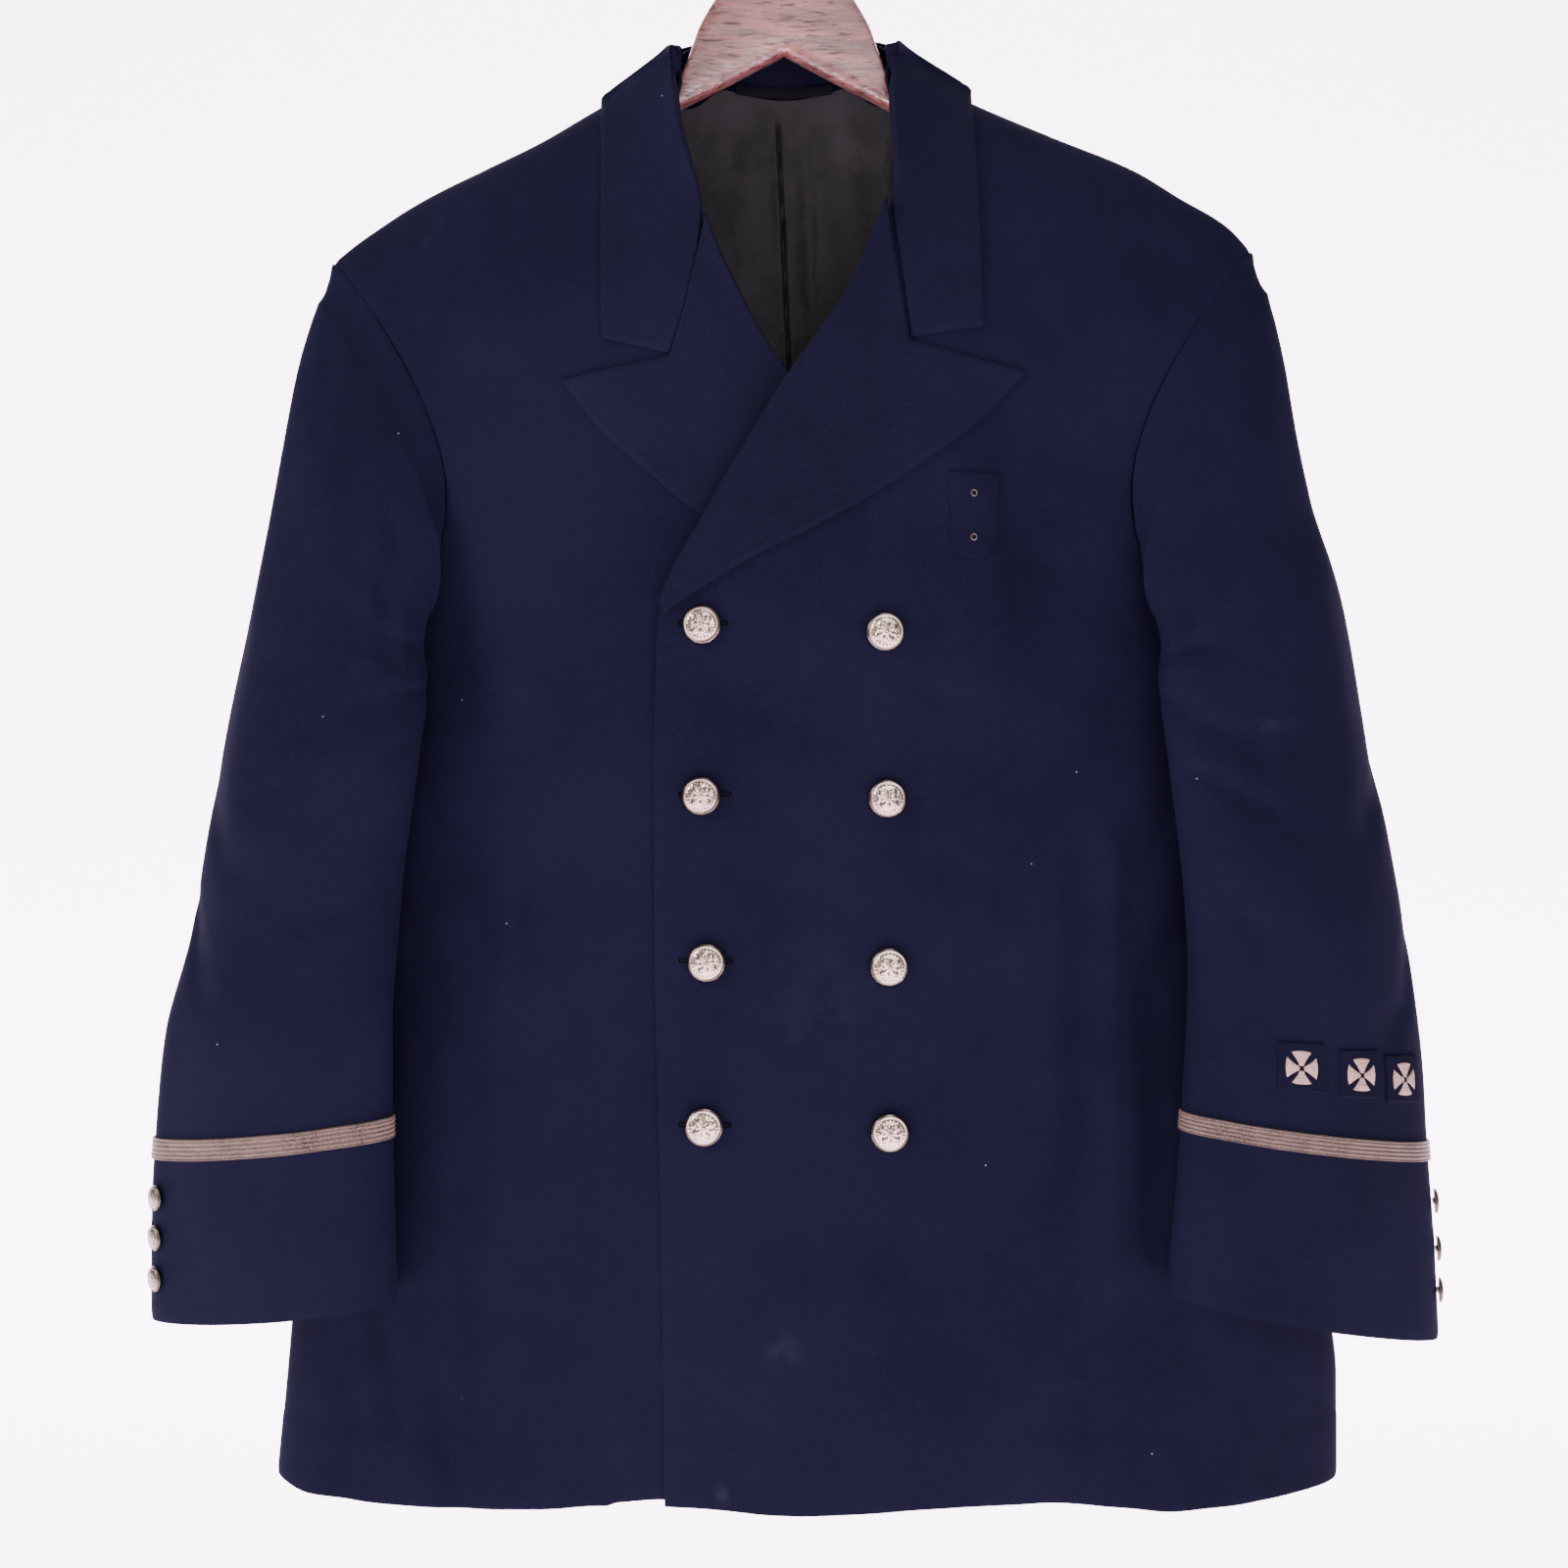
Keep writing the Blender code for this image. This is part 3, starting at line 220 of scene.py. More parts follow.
# Sleeves: the outer and inner edge of each ring from armhole to cuff, the depth before and behind the line
# between them, and how far the ring bows to the middle of the body
SLEEVES = {
    LEFT: table(
        "ring outer_x outer_y outer_down inner_x inner_y inner_down front back bow",
        (0, -278, 0, 247, -264, 0, 470, 42, 32, 64),
        (1, -286, -4, 272, -212, -46, 470, 24, 32, 27),
        (2, -293, -9, 305, -211, -53, 484, 27, 26, 14),
        (3, -301, -14, 350, -209, -58, 494, 30, 22, 6),
        (4, -309, -19, 402, -207, -62, 505, 31, 20, 2),
        (5, -320, -24, 462, -207, -64, 520, 31, 22, 0),
        (6, -336, -27, 543, -211, -64, 550, 31, 24, 0),
        (7, -347, -29, 609, -220, -62, 610, 31, 26, 0),
        (8, -354, -29, 655, -225, -61, 660, 31, 27, 0),
        (9, -370, -28, 716, -228, -60, 712, 31, 28, 0),
        (10, -377, -26, 777, -228, -58, 759, 31, 28, 0),
        (11, -380, -25, 830, -227, -58, 815, 31, 28, 0),
        (12, -380, -24, 887, -226, -57, 868, 31, 28, 0),
    ),
    RIGHT: table(
        "ring outer_x outer_y outer_down inner_x inner_y inner_down front back bow",
        (0, 288, 0, 240, 274, 0, 472, 42, 32, 68),
        (1, 297, -4, 266, 222, -46, 472, 24, 32, 28),
        (2, 302, -9, 300, 221, -53, 486, 27, 26, 15),
        (3, 308, -14, 345, 219, -58, 496, 30, 22, 6),
        (4, 316, -19, 395, 217, -62, 506, 31, 20, 2),
        (5, 334, -24, 452, 218, -64, 520, 31, 22, 0),
        (6, 350, -27, 543, 222, -64, 550, 31, 24, 0),
        (7, 362, -29, 600, 229, -62, 600, 31, 26, 0),
        (8, 374, -29, 671, 235, -61, 670, 31, 27, 0),
        (9, 382, -28, 729, 234, -60, 718, 31, 28, 0),
        (10, 386, -26, 779, 232, -58, 756, 31, 28, 0),
        (11, 390, -25, 835, 228, -58, 812, 31, 28, 0),
        (12, 393, -24, 899, 223, -57, 864, 31, 28, 0),
    ),
}

# The line below the foot of the armhole, where the sleeve turns from the body's front to hang clear of it
FOOT_LINE = {
    LEFT: table(
        "ring x y down",
        (1, -264, -14, 480),
        (2, -264, -16, 498),
        (3, -262, -19.5, 515),
        (4, -259, -24, 535),
        (5, -253, -29, 559),
        (6, -246, -34, 590),
        (7, -242, -37, 628),
        (8, -240, -38, 668),
    ),
    RIGHT: table(
        "ring x y down",
        (1, 276, -14, 482),
        (2, 275, -16, 500),
        (3, 273, -19.5, 517),
        (4, 270, -24, 537),
        (5, 264, -29, 560),
        (6, 256, -34, 590),
        (7, 251, -37, 625),
        (8, 248, -38, 672),
    ),
}
FOOT_FADE_START, FOOT_FADE = 5, 4
BRAID_RING = 10
HIND_CORNER, FORE_CORNER = -4, 8
HIND_SEAM = table("ring turn", (0, -0.11), (1, -0.11), (3, -0.08), (7, 0.0), (12, 0.03))
FORE_SEAM = table("ring turn", (0, 0.50), (1, 0.50), (3, 0.51), (7, 0.52), (12, 0.53))
FOOT_TURN = table("ring turn", (0, 0.72), (1, 0.72), (3, 0.70), (6, 0.64), (12, 0.62))
SLEEVE_CLEARANCE = 7.5
SLEEVE_ROUND = 330.0
# Over how many millimetres and rings a sleeve starts to be kept clear of the body
PANEL_FADE, CLEAR_FROM_RING = 6, 0.8
# Steps for a sleeve's slopes, and how far round its crease at the foot of the armhole turns it
RING_STEP, TURN_STEP, FOOT_CREASE = 0.05, 0.004, 0.012
BACK_BOW = 0.7

# Collar, from the centre back to the notch: the fold above, then the gorge seam, and the outer edge
COLLAR = {
    LEFT: table(
        "along fold_x fold_y fold_down edge_x edge_y edge_down",
        (0.00, 0, 31, 97, 0, 36, 147),
        (0.14, -38, 27, 99, -55, 32, 149),
        (0.25, -60, 14, 107, -92, 19, 150),
        (0.34, -69, -4, 120, -112, 0, 146),
        (0.44, -68, -22, 142, -111, -20, 165),
        (0.55, -64.5, -30, 170, -109, -20, 195),
        (0.65, -60, -30, 190, -108.5, -20, 222),
        (0.78, -49.5, -30, 233, -108, -20, 255),
        (0.90, -60.5, -30, 290, -107.5, -20, 285),
        (1.00, -68.5, -30, 315, -107, -20, 306),
    ),
    RIGHT: table(
        "along fold_x fold_y fold_down edge_x edge_y edge_down",
        (0.00, 0, 31, 97, 0, 36, 147),
        (0.14, 38, 27, 98, 57, 32, 148),
        (0.25, 60, 14, 105, 94, 19, 148),
        (0.34, 69, -4, 118, 115, -3, 141),
        (0.44, 67.5, -22, 140, 114, -20, 165),
        (0.55, 66, -30, 168, 114.5, -20, 195),
        (0.65, 67, -30, 195, 115, -20, 222),
        (0.78, 65, -30, 224, 115.5, -20, 250),
        (0.90, 70.5, -30, 264, 116, -20, 278),
        (1.00, 75.5, -30, 307, 116.5, -20, 299),
    ),
}
COLLAR_FOLD_LIFT = 6.0
STAND_INSET = 4.4
STAND = table(
    "along seam_x seam_y seam_down",
    (0.00, 0, 25, 131.5),
    (0.07, 20, 24.5, 129.5),
    (0.14, 38, 22, 126.5),
    (0.25, 61, 11, 124.5),
    (0.34, 69, -1, 122.5),
    (0.38, 68.5, -8, 124),
    (0.41, 67, -12, 138),
    (0.44, 65, -15, 150),
)

# Lapels: the outer edge from the peak to the break, and the gorge from the roll through the notch to the peak
LAPEL_EDGE = {
    "under": table(
        "along x down",
        (0.00, -131, 330),
        (0.17, -108, 359.5),
        (0.33, -84, 381),
        (0.55, -48, 411),
        (0.78, 12, 441),
        (1.00, 76, 469),
    ),
    "over": table(
        "along x down",
        (0.00, 143, 325),
        (0.13, 109, 359.5),
        (0.25, 80, 380.6),
        (0.38, 48.5, 401),
        (0.53, 14, 420),
        (0.68, -19, 436),
        (0.83, -46, 452.5),
        (1.00, -69, 468),
    ),
}
LAPEL_GORGE = {
    "under": table("share x down", (0, -46.5, 236), (0.32, -59, 291), (0.5, -67, 317), (1, -131, 330)),
    "over": table("share x down", (0, 63.5, 227), (0.25, 69, 266), (0.5, 74.5, 309.5), (1, 143, 325)),
}
LAPEL_ROLL = 7.0
LAPEL_ROLL_REACH = 9.0

# Front buttons in rows of two, and the cuff buttons down each outer edge
FRONT_BUTTONS = table(
    "row left right down_left down_right",
    (1, -47.5, 58.5, 475, 479),
    (2, -48, 60, 574, 575.5),
    (3, -45, 61, 671, 673.5),
    (4, -46.5, 61.5, 766.5, 770),
)
CUFF_BUTTON_DOWNS = {LEFT: (812, 836, 860), RIGHT: (817, 845, 870)}
CUFF_BUTTON_TURN = {LEFT: 0.075, RIGHT: 0.02}

SERVICE_PATCHES = table("number x down", (1, 296, 729), (2, 333, 735), (3, 363, 740))
BADGE_TAB = {"left": 96.5, "right": 125, "top": 385, "bottom": 435}
LOOP = {"half": 30, "top": 128.5, "bottom": 134.5, "y": 22.0}


def smooth(share):
    """Goes softly from 0 to 1."""
    share = np.clip(share, 0, 1)
    return share * share * (3 - 2 * share)


def mix(first, last, share):
    return first + (last - first) * share


def read(sizes, column, place):
    """The column's size at each place along the first column, on a smooth curve that never overshoots."""
    along = next(iter(sizes.values()))
    values = sizes[column]
    step = np.diff(along)
    rise = np.diff(values) / step
    product = rise[:-1] * rise[1:]
    total = np.where(product > 0, rise[:-1] + rise[1:], 1)
    inner = np.where(product > 0, 2 * product / total, 0)
    slope = np.concatenate([rise[:1], inner, rise[-1:]])
    place = np.clip(place, along[0], along[-1])
    i = np.clip(np.searchsorted(along, place, side="right") - 1, 0, len(step) - 1)
    t = (place - along[i]) / step[i]
    start = values[i] * (1 + 2 * t) * (1 - t) ** 2 + slope[i] * step[i] * t * (1 - t) ** 2
    end = values[i + 1] * t * t * (3 - 2 * t) + slope[i + 1] * step[i] * t * t * (t - 1)
    return start + end


def points(x, y, down):
    return np.stack(np.broadcast_arrays(x, y, -np.asarray(down, float)), axis=-1)


def unit(directions):
    """The same directions with length 1."""
    return directions / np.maximum(np.linalg.norm(directions, axis=-1, keepdims=True), 1e-9)


def bell(off, width):
    """1 where nothing is off, falling softly to 0 on both sides."""
    return np.exp(-((off / width) ** 2))


def folds(x, down, face):
    """How far the largest folds sink at a place."""
    rows = FRONT_FOLDS if face == FRONT else BACK_FOLDS
    total = 0 * x
    for x_top, x_bottom, top, bottom, width, depth in zip(*rows.values()):
        share = np.clip((down - top) / (bottom - top), 0, 1)
        middle = mix(x_top, x_bottom, share)
        total = total + depth * np.sin(np.pi * share) ** 0.7 * bell(x - middle, width)
    return total


def half_width(x, down):
    return np.where(x < 0, read(BODY, "left", down), read(BODY, "right", down))


def body_y(x, down, face):
    """Depth of the body's cloth at a place seen from the front."""
    across = np.sqrt(np.clip(1 - (x / half_width(x, down)) ** 2, 0, 1))
    drop = np.clip((down - read(RIDGE, "down", x)) / RIDGE_ROUND[face], 0, 1)
    over = np.sqrt(1 - (1 - drop) ** 2)
    depth = read(BODY, "front" if face == FRONT else "back", down)
    return face * across * over * (depth - folds(x, down, face))


def front_y(x, down):
    return body_y(x, down, FRONT)


def back_y(x, down):
    return body_y(x, down, BACK)


def over_lift(x, down):
    """How far the over front stands off the under front and its lapel."""
    beside = 1 - smooth((x - 80) / 60)
    start = smooth((down - 240) / 70)
    return beside * start * mix(2 * LAYER, LAYER, smooth((down - 475) / 50))


def over_y(x, down):
    return front_y(x, down) - over_lift(x, down)


def outward(depth, x, down, face):
    """Unit normals, pointing out, of a cloth whose depth is a function of x and down."""
    step = 0.4
    room = half_width(x, down) - 2 * step
    x = np.clip(x, -room, room)
    down = np.maximum(down, read(RIDGE, "down", x) + 2 * step)
    slope_x = (depth(x + step, down) - depth(x - step, down)) / (2 * step)
    slope_down = (depth(x, down + step) - depth(x, down - step)) / (2 * step)
    return unit(np.stack([-face * slope_x, face + 0 * slope_x, face * slope_down], axis=-1))


def armhole(side, face, turn):
    """x and down round the armhole seam: turn is 0 at the shoulder point and 1 under the arm."""
    place = sleeve_line(side, 0 * turn, (0.5 if face == FRONT else -0.5) * turn)
    return place[..., 0], -place[..., 2]


def top_line(x, face):
    """The shoulder seam and, behind, the back of the neck."""
    ridge = read(RIDGE, "down", x)
    if face == FRONT:
        return ridge
    neck = BACK_NECK_DOWN - read(RIDGE, "down", np.array(0.0))
    return ridge + neck * smooth(1 - np.abs(x) / NECK_POINT)


def laid(depth, x, down):
    """Places on the front, and its directions, for a cloth whose depth is a function of x and down."""
    return points(x, depth(x, down), down), outward(depth, x, down, FRONT)


def panel(side, face, inner_edge, inner_top, hem, rows, columns):
    """x and down over a body panel: rows from shoulder to hem, columns from the side to the inner edge."""
    high = np.concatenate([np.linspace(0, 1, ARMHOLE_FINE + 1), np.ones(rows)])
    low = np.concatenate([np.zeros(ARMHOLE_FINE), np.linspace(0, 1, rows + 1)])
    crowded = high**YOKE_CROWDING
    side_hem = hem(np.array(side * SIDE_SEAM_X))
    seam_x, seam_down = armhole(side, face, crowded)
    seam_down = mix(seam_down, side_hem, low)
    seam_x = np.where(low > 0, side * half_width(side * np.ones_like(low), seam_down), seam_x)
    inner_down = mix(inner_top, UNDERARM_DOWN, 1 - np.cos(np.pi / 2 * crowded))
    inner_down = mix(inner_down, hem(inner_edge(inner_down)), low)
    inner_x = inner_edge(inner_down)

    share = np.linspace(0, 1, columns + 1)[None, :]
    start = np.arcsin(np.clip(seam_x / half_width(seam_x, seam_down), -1, 1))[:, None]
    end = np.arcsin(inner_x / half_width(inner_x, inner_down))[:, None]
    down = mix(seam_down[:, None], inner_down[:, None], share)
    angle = mix(start, end, share)
    x = np.sin(angle) * half_width(np.sin(angle), down)
    chord = mix(top_line(seam_x, face)[:, None], top_line(inner_x, face)[:, None], share)
    down = down + (1 - high[:, None]) ** 2 * (top_line(x, face) - chord)
    bottom = mix(side_hem, hem(inner_edge(np.array(float(UNDER_HEM_DOWN)))), share)
    return x, down + low[:, None] ** 4 * (hem(x) - bottom)


def sleeve_line(side, ring, turn):
    """Points of a sleeve not yet laid on the body: turn goes once round from the outer edge by the front."""
    sizes = SLEEVES[side]
    angle = 2 * np.pi * turn
    outer = points(*(read(sizes, "outer_" + axis, ring) for axis in ("x", "y", "down")))
    inner = points(*(read(sizes, "inner_" + axis, ring) for axis in ("x", "y", "down")))
    place = (outer + inner) / 2 + (outer - inner) / 2 * np.cos(angle)[..., None]
    front = np.sin(angle) > 0
    bow = read(sizes, "bow", ring) * np.where(front, 1, mix(BACK_BOW, 0.1, smooth(ring)))
    place[..., 0] -= side * bow * np.abs(np.sin(angle)) ** 1.4 * (1 - 0.5 * np.cos(angle))
    depth = np.where(front, read(sizes, "front", ring), read(sizes, "back", ring))
    place[..., 1] -= depth * np.sin(angle)
    return place


def sleeve_turns(ring, places):
    """Turns of the cloth that starts at places counted in the armhole's corners, at each ring."""
    knots = [read(HIND_SEAM, "turn", ring), read(FORE_SEAM, "turn", ring), read(FOOT_TURN, "turn", ring)]
    knots.append(knots[0] + 1)
    corners = (HIND_CORNER, FORE_CORNER, ARMHOLE_ROWS, HIND_CORNER + 2 * ARMHOLE_ROWS)
    return np.array([np.interp(places, corners, row) for row in np.array(knots)[..., 0].T])


def hung(side, ring, turn):
    """Points of a sleeve below its first ring, before it is kept clear of the body."""
    place = sleeve_line(side, ring, turn)
    fore, foot_turn, hind = (read(seam, "turn", ring) for seam in (FORE_SEAM, FOOT_TURN, HIND_SEAM))
    turn = (turn - hind) % 1 + hind
    to_foot = (turn - fore) / (foot_turn - fore)
    from_foot = (hind + 1 - turn) / (hind + 1 - foot_turn)
    near = np.where(turn < foot_turn, to_foot, from_foot)
    foot = points(*(read(FOOT_LINE[side], axis, ring) for axis in ("x", "y", "down")))
    away = foot - sleeve_line(side, ring, foot_turn)
    fade = 1 - smooth((ring - FOOT_FADE_START) / FOOT_FADE)
    return place + away * (smooth(near) * fade)[..., None]


def seam_turn(turn):
    """Where on the armhole seam the cloth at a turn of the sleeve starts."""
    around = 2 * ARMHOLE_ROWS
    hind, fore, foot = (seam["turn"][0] for seam in (HIND_SEAM, FORE_SEAM, FOOT_TURN))
    turn = (turn - hind) % 1 + hind
    corners = (HIND_CORNER, FORE_CORNER, ARMHOLE_ROWS, HIND_CORNER + around)
    corner = np.interp(turn, (hind, fore, foot, hind + 1), corners)
    corner = corner - around * (corner > ARMHOLE_ROWS)
    return np.sign(corner) * 0.5 * np.abs(corner / ARMHOLE_ROWS) ** YOKE_CROWDING


def sleeve(side, ring, turn):
    """Points of a sleeve, sewn to the armhole at ring 0 and lying just clear of the body below it."""
    ring, turn = np.broadcast_arrays(np.asarray(ring, float), np.asarray(turn, float))
    sewn_turn = seam_turn(turn)
    sewn = sleeve_line(side, 0 * ring, sewn_turn)
    x, down = sewn[..., 0], -sewn[..., 2]
    sewn[..., 1] = np.where(sewn_turn > 0, front_y(x, down), back_y(x, down))
    place = hung(side, np.maximum(ring, 1), turn)
    place = mix(sewn, place, np.minimum(ring, 1)[..., None])

    x, down = place[..., 0], -place[..., 2]
    width = half_width(x, down) + SLEEVE_CLEARANCE
    depth = np.where(place[..., 1] < 0, read(BODY, "front", down), read(BODY, "back", down))
    inside = np.minimum(np.hypot(x / width, place[..., 1] / (depth + SLEEVE_CLEARANCE)), 1)
    reach = armhole_reach(side, down, place[..., 1] > 0)
    on_panel = smooth((reach + PANEL_FADE - np.abs(x)) / PANEL_FADE) * smooth(ring / CLEAR_FROM_RING)
    place[..., :2] *= mix(1, 1 / inside, on_panel)[..., None]
    return place


def armhole_reach(side, down, behind):
    """How far out the body's cloth reaches at a height beside the armhole, or below it."""
    sizes = SLEEVES[side]
    top, foot = sizes["outer_down"][0], sizes["inner_down"][0]
    level = np.clip(((top + foot) / 2 - down) / ((foot - top) / 2), -1, 1)
    middle = mix(abs(sizes["inner_x"][0]), abs(sizes["outer_x"][0]), (1 + level) / 2)
    bowed = sizes["bow"][0] * np.where(behind, BACK_BOW, 1) * (1 - level**2) ** 0.7 * (1 - 0.5 * level)
    return np.where(down > foot, 400, middle - bowed)


def sleeve_normal(side, ring, turn):
    """Unit normals of a sleeve, pointing out; at the armhole they are the body's own."""
    ring, turn = np.broadcast_arrays(np.asarray(ring, float), np.asarray(turn, float))
    last = SLEEVES[side]["ring"][-1]
    before, after = np.clip(ring - RING_STEP, 0, last), np.clip(ring + RING_STEP, 0, last)
    along = sleeve(side, after, turn) - sleeve(side, before, turn)
    around = sleeve(side, ring, turn + TURN_STEP) - sleeve(side, ring, turn - TURN_STEP)
    normal = unit(np.cross(along, around) * -side)
    hind, foot_turn = read(HIND_SEAM, "turn", ring), read(FOOT_TURN, "turn", ring)
    beside = (turn - hind) % 1 + hind - foot_turn
    creased = bell(beside, FOOT_CREASE) * (1 - smooth((ring - 2) / 3)) * smooth(ring * 2)
    normal = unit(mix(normal, np.array((0.3 * side, 0.95, 0)), creased[..., None]))
    place = sleeve(side, ring, turn)
    x, down = place[..., 0], -place[..., 2]
    sewn_turn = seam_turn(turn)
    in_front = (sewn_turn > 0)[..., None]
    body = np.where(in_front, outward(front_y, x, down, FRONT), outward(back_y, x, down, BACK))
    under_arm = smooth((-np.cos(2 * np.pi * sewn_turn) - 0.55) / 0.35)[..., None]
    return np.where((ring < 0.01)[..., None], unit(mix(body, normal, under_arm)), normal)


def on_sleeve(side, x, down):
    """The ring and turn at a place on the front of a sleeve, seen from the front."""
    rings, turns = np.meshgrid(np.linspace(5, 12, 281), np.linspace(0.01, 0.49, 193), indexing="ij")
    place = sleeve(side, rings, turns)
    nearest = np.argmin((place[..., 0] - x) ** 2 + (place[..., 2] + down) ** 2)
    return rings.flat[nearest], turns.flat[nearest]


def pleat(x, down):
    """The lining's centre pleat, a small step with a trough beside it."""
    below = down - BACK_NECK_DOWN
    middle = mix(-4, 4, np.clip(below / 180, 0, 1))
    fade = smooth(below / 60) * (1 - smooth((down - 400) / 400))
    return fade * (3 * bell(x - middle, 5) + 2.5 * bell(x - middle - 38, 11))


def collar_row(along):
    """Fold and edge points of the collar at places from the left notch, -1, to the right one, +1."""
    rows = []
    for place in along:
        sizes = COLLAR[LEFT if place < 0 else RIGHT]
        fold = [read(sizes, "fold_" + axis, np.array(abs(place))) for axis in ("x", "y", "down")]
        edge = [read(sizes, "edge_" + axis, np.array(abs(place))) for axis in ("x", "y", "down")]
        rows.append((points(*fold), points(*edge)))
    return np.array(rows)


# Thickness of the shown cloth, and the end of each shown piece's name
SHELL = 1.7
SHOWN = "_shown"
# How deep the body's creases are, against their tables
CREASE_DEPTH = 1.35

# Creases: each runs from one place to another, with half width and depth; a ridge's depth is below 0
FRONT_CREASES = table(
    "x_from down_from x_to down_to width depth",
    (-205, 900, -197, 985, 9, 3.0),
    (-242, 880, -230, 940, 9, 2.6),
    (-160, 600, -166, 850, 9, -2.0),
    (-128, 590, -132, 860, 16, -2.2),
    (-100, 620, -92, 800, 12, -1.2),
    (-70, 640, -82, 980, 14, 1.2),
    (-215, 560, -176, 640, 12, 1.8),
    (-228, 640, -196, 700, 10, 1.4),
    (-210, 470, -150, 540, 14, 1.6),
    (-120, 300, -150, 380, 16, 1.6),
    (-168, 250, -150, 420, 20, 1.4),
    (-96, 860, -88, 992, 10, -1.2),
    (-258, 900, -262, 990, 10, 2.0),
    (194, 600, 192, 860, 8, -2.4),
    (206, 700, 214, 900, 9, -1.6),
    (160, 620, 150, 880, 12, -1.4),
    (148, 395, 150, 455, 22, 2.6),
    (120, 400, 128, 500, 10, -1.6),
    (70, 470, 66, 560, 12, -1.4),
    (114, 521, 46, 613, 9, 1.3),
    (148, 670, 74, 755, 10, 1.4),
    (23, 450, 44, 470, 6, 1.0),
    (74, 508, 116, 522, 7, 1.1),
    (70, 600, 118, 622, 8, 0.9),
    (-30, 520, 40, 540, 9, 0.8),
    (-24, 610, 36, 640, 9, 0.8),
    (-22, 705, 40, 735, 10, 0.7),
    (84, 690, 40, 712, 8, 0.6),
    (20, 800, 34, 985, 16, 1.4),
    (56, 800, 62, 980, 13, -1.2),
    (110, 760, 100, 985, 16, 1.3),
    (136, 880, 140, 990, 11, -1.2),
    (240, 840, 246, 985, 10, 2.0),
    (268, 900, 272, 990, 9, -1.4),
    (236, 560, 200, 650, 12, 1.8),
    (246, 640, 214, 700, 10, 1.3),
    (222, 480, 170, 560, 13, 1.4),
    (180, 250, 168, 410, 18, 1.3),
    (138, 255, 168, 330, 15, 1.2),
    (-2, 860, -8, 990, 12, -0.9),
)
BACK_CREASES = table(
    "x_from down_from x_to down_to width depth",
    (-230, 520, -196, 700, 14, 2.2),
    (-205, 640, -212, 985, 12, 2.4),
    (-90, 480, -96, 980, 16, -2.0),
    (-52, 620, -46, 985, 13, 2.0),
    (-160, 260, -196, 460, 18, 2.0),
    (-20, 250, -34, 520, 18, 1.2),
    (30, 300, 38, 640, 16, -1.4),
    (110, 420, 122, 980, 15, -2.0),
    (142, 700, 146, 985, 12, 1.8),
    (236, 600, 228, 985, 13, 2.4),
    (208, 480, 236, 640, 13, -1.6),
    (168, 250, 206, 450, 18, 2.0),
    (-130, 220, 130, 240, 14, 0.9),
    (268, 760, 276, 985, 12, -1.6),
    (-262, 780, -266, 985, 12, -1.6),
)

# Sleeve creases: places by ring and turn, half width and depth in millimetres
SLEEVE_CREASES = {
    LEFT: table(
        "ring_from turn_from ring_to turn_to width depth",
        (0.2, 0.06, 2.6, 0.15, 9, 1.8),
        (0.6, 0.16, 3.4, 0.24, 11, 1.8),
        (1.4, 0.02, 5.0, 0.08, 11, -2.0),
        (2.0, 0.30, 4.4, 0.36, 10, 2.6),
        (3.0, 0.44, 4.6, 0.30, 9, 1.8),
        (4.6, 0.47, 5.8, 0.26, 10, 2.4),
        (5.6, 0.46, 6.6, 0.30, 9, 2.0),
        (6.4, 0.05, 7.6, 0.22, 12, 2.2),
        (7.2, 0.42, 7.8, 0.28, 9, 1.8),
        (7.6, 0.03, 8.6, 0.14, 9, 2.0),
        (5.0, 0.12, 9.6, 0.17, 15, -1.6),
        (8.2, 0.40, 11.0, 0.34, 14, 1.6),
        (8.8, 0.10, 11.6, 0.12, 13, 1.4),
        (4.0, 0.60, 7.0, 0.66, 14, 2.4),
        (6.6, 0.78, 8.0, 0.64, 12, 2.2),
        (7.4, 0.92, 9.0, 0.80, 12, 2.0),
        (8.0, 0.70, 11.6, 0.74, 14, 1.8),
        (5.0, 0.86, 9.0, 0.90, 14, -1.8),
    ),
    RIGHT: table(
        "ring_from turn_from ring_to turn_to width depth",
        (0.2, 0.05, 2.4, 0.14, 9, 1.8),
        (0.6, 0.18, 3.2, 0.26, 11, 1.8),
        (1.6, 0.01, 4.6, 0.06, 11, -2.0),
        (2.2, 0.32, 4.2, 0.38, 10, 2.4),
        (3.2, 0.45, 5.0, 0.28, 9, 2.0),
        (4.8, 0.47, 6.0, 0.30, 10, 2.2),
        (6.0, 0.46, 6.8, 0.26, 9, 2.2),
        (6.2, 0.04, 7.4, 0.20, 12, 2.2),
        (7.0, 0.44, 7.9, 0.30, 9, 1.8),
        (7.8, 0.03, 8.9, 0.16, 9, 1.8),
        (5.0, 0.14, 9.0, 0.18, 15, -1.6),
        (8.4, 0.41, 11.0, 0.36, 14, 1.6),
        (10.4, 0.12, 11.8, 0.14, 12, 1.2),
        (4.2, 0.60, 7.2, 0.67, 14, 2.4),
        (6.4, 0.80, 8.2, 0.62, 12, 2.2),
        (7.6, 0.92, 9.2, 0.82, 12, 2.0),
        (8.2, 0.72, 11.6, 0.73, 14, 1.8),
        (5.0, 0.88, 9.2, 0.90, 14, -1.8),
    ),
}
LINING_CREASES = table(
    "x_from down_from x_to down_to width depth",
    (14, 140, 20, 330, 5, -1.4),
    (30, 150, 46, 340, 8, 1.6),
    (-22, 160, -40, 420, 9, -1.2),
    (-58, 170, -70, 480, 10, 1.4),
    (64, 160, 80, 460, 9, -1.4),
    (-10, 200, 26, 300, 5, 1.0),
    (40, 330, 10, 470, 9, 1.2),
    (-90, 300, -60, 800, 16, 1.6),
    (100, 300, 80, 820, 16, 1.6),
    (-30, 500, -20, 900, 14, -1.6),
    (30, 520, 40, 900, 14, 1.6),
)


